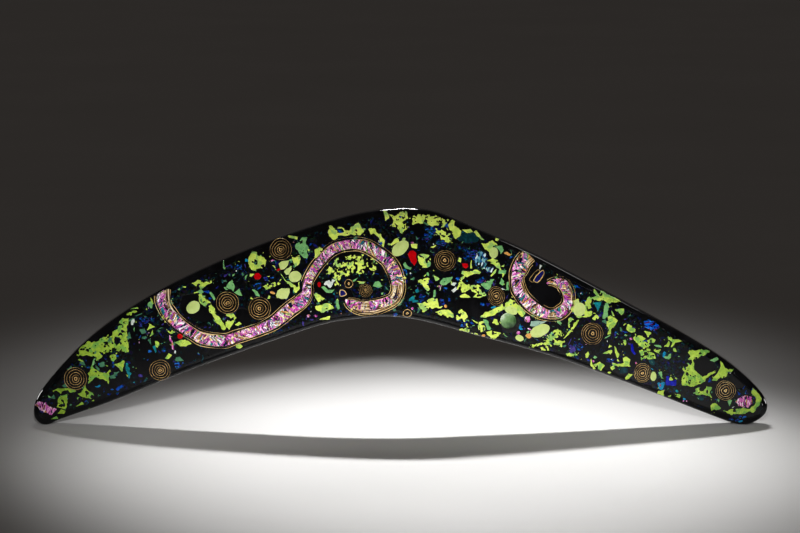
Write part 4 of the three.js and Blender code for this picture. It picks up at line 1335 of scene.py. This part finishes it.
def build_stage():
    """A wide pale table, which reaches past every view of the object."""
    reach = 9.0
    corners = [(x * reach, y * reach, 0.0) for x, y in ((-1, -1), (1, -1), (1, 1), (-1, 1))]
    mesh = bpy.data.meshes.new("stage")
    mesh.from_pydata(corners, [], [(0, 1, 2, 3)])
    look = Look("pale_paper", 0.85, 0.1)
    grain = look.noise(look.place(), 3.0, 4.0)
    mesh.materials.append(look.colour(look.ramp(grain, [(0.3, (0.69, 0.68, 0.67)),
                                                        (0.7, (0.73, 0.72, 0.71))])))
    stage = bpy.data.objects.new("stage", mesh)
    bpy.context.scene.collection.objects.link(stage)


def add_spot(name, energy, position, target, degrees, blend, softness):
    """A spot light at position which looks at target, both in metres."""
    data = bpy.data.lights.new(name, "SPOT")
    data.energy = energy
    data.spot_size = math.radians(degrees)
    data.spot_blend = blend
    data.shadow_soft_size = softness
    light = bpy.data.objects.new(name, data)
    bpy.context.scene.collection.objects.link(light)
    light.location = position
    light.rotation_euler = (Vector(target) - Vector(position)).to_track_quat("-Z", "Y").to_euler()
    return light


# Rim lights: where each is, what it looks at and its power
RIM_LIGHTS = [((1.76, 0.20, 0.25), (0.295, 0, 0.02), 45),
              ((-1.70, 0.35, 0.45), (-0.29, 0, 0.03), 45),
              ((1.0, 0.0, 1.47), (0.15, 0, 0.12), 12)]


def build_light():
    """A row of lights high behind pools light on the table, and a low row in front lights the face.

    The rim lights only show as gleams on the slab's edge.
    """
    for k in range(-2, 3):
        add_spot(f"pool_light_{k + 2}", 88, (-0.03 + 0.11 * k, 1.45, 2.12),
                 (0.045 + 0.01 * k, -0.12, 0), degrees=15.8, blend=1.0, softness=0.06)
    for k in range(-3, 4):
        out = abs(k)
        lamp = add_spot(f"face_light_{k + 3}", 43 - 2.5 * out, (0.04 * k, -1.5, 0.56),
                        (0.086 * k, 0, 0.075 - 0.018 * out), degrees=11 - 0.4 * out, blend=1.0,
                        softness=0.04)
        lamp.visible_glossy = False
    for k, (position, target, energy) in enumerate(RIM_LIGHTS):
        rim = add_spot(f"rim_light_{k}", energy, position, target, degrees=30, blend=0.6,
                       softness=0.18)
        rim.visible_diffuse = False
    world = bpy.data.worlds.new("studio")
    bpy.context.scene.world = world
    world.use_nodes = True
    background = world.node_tree.nodes["Background"].inputs
    background["Color"].default_value = (0.034, 0.0305, 0.028, 1)
    background["Strength"].default_value = 1.0


def build_camera():
    """A long lens a little above the object, square to its face."""
    elevation = math.radians(9)
    distance = 2.6
    view_width = 0.6506  # how much of the object's plane the picture is wide
    aim = Vector((-0.0004, 0, 0.1305))
    data = bpy.data.cameras.new("camera")
    data.sensor_width = 36
    data.lens = data.sensor_width * distance / view_width
    camera = bpy.data.objects.new("camera", data)
    bpy.context.scene.collection.objects.link(camera)
    camera.location = aim + Vector((0, -math.cos(elevation), math.sin(elevation))) * distance
    camera.rotation_euler = (math.pi / 2 - elevation, 0, 0)
    bpy.context.scene.camera = camera


build_stage()
build_light()
build_camera()
bpy.context.scene.view_settings.view_transform = "Standard"
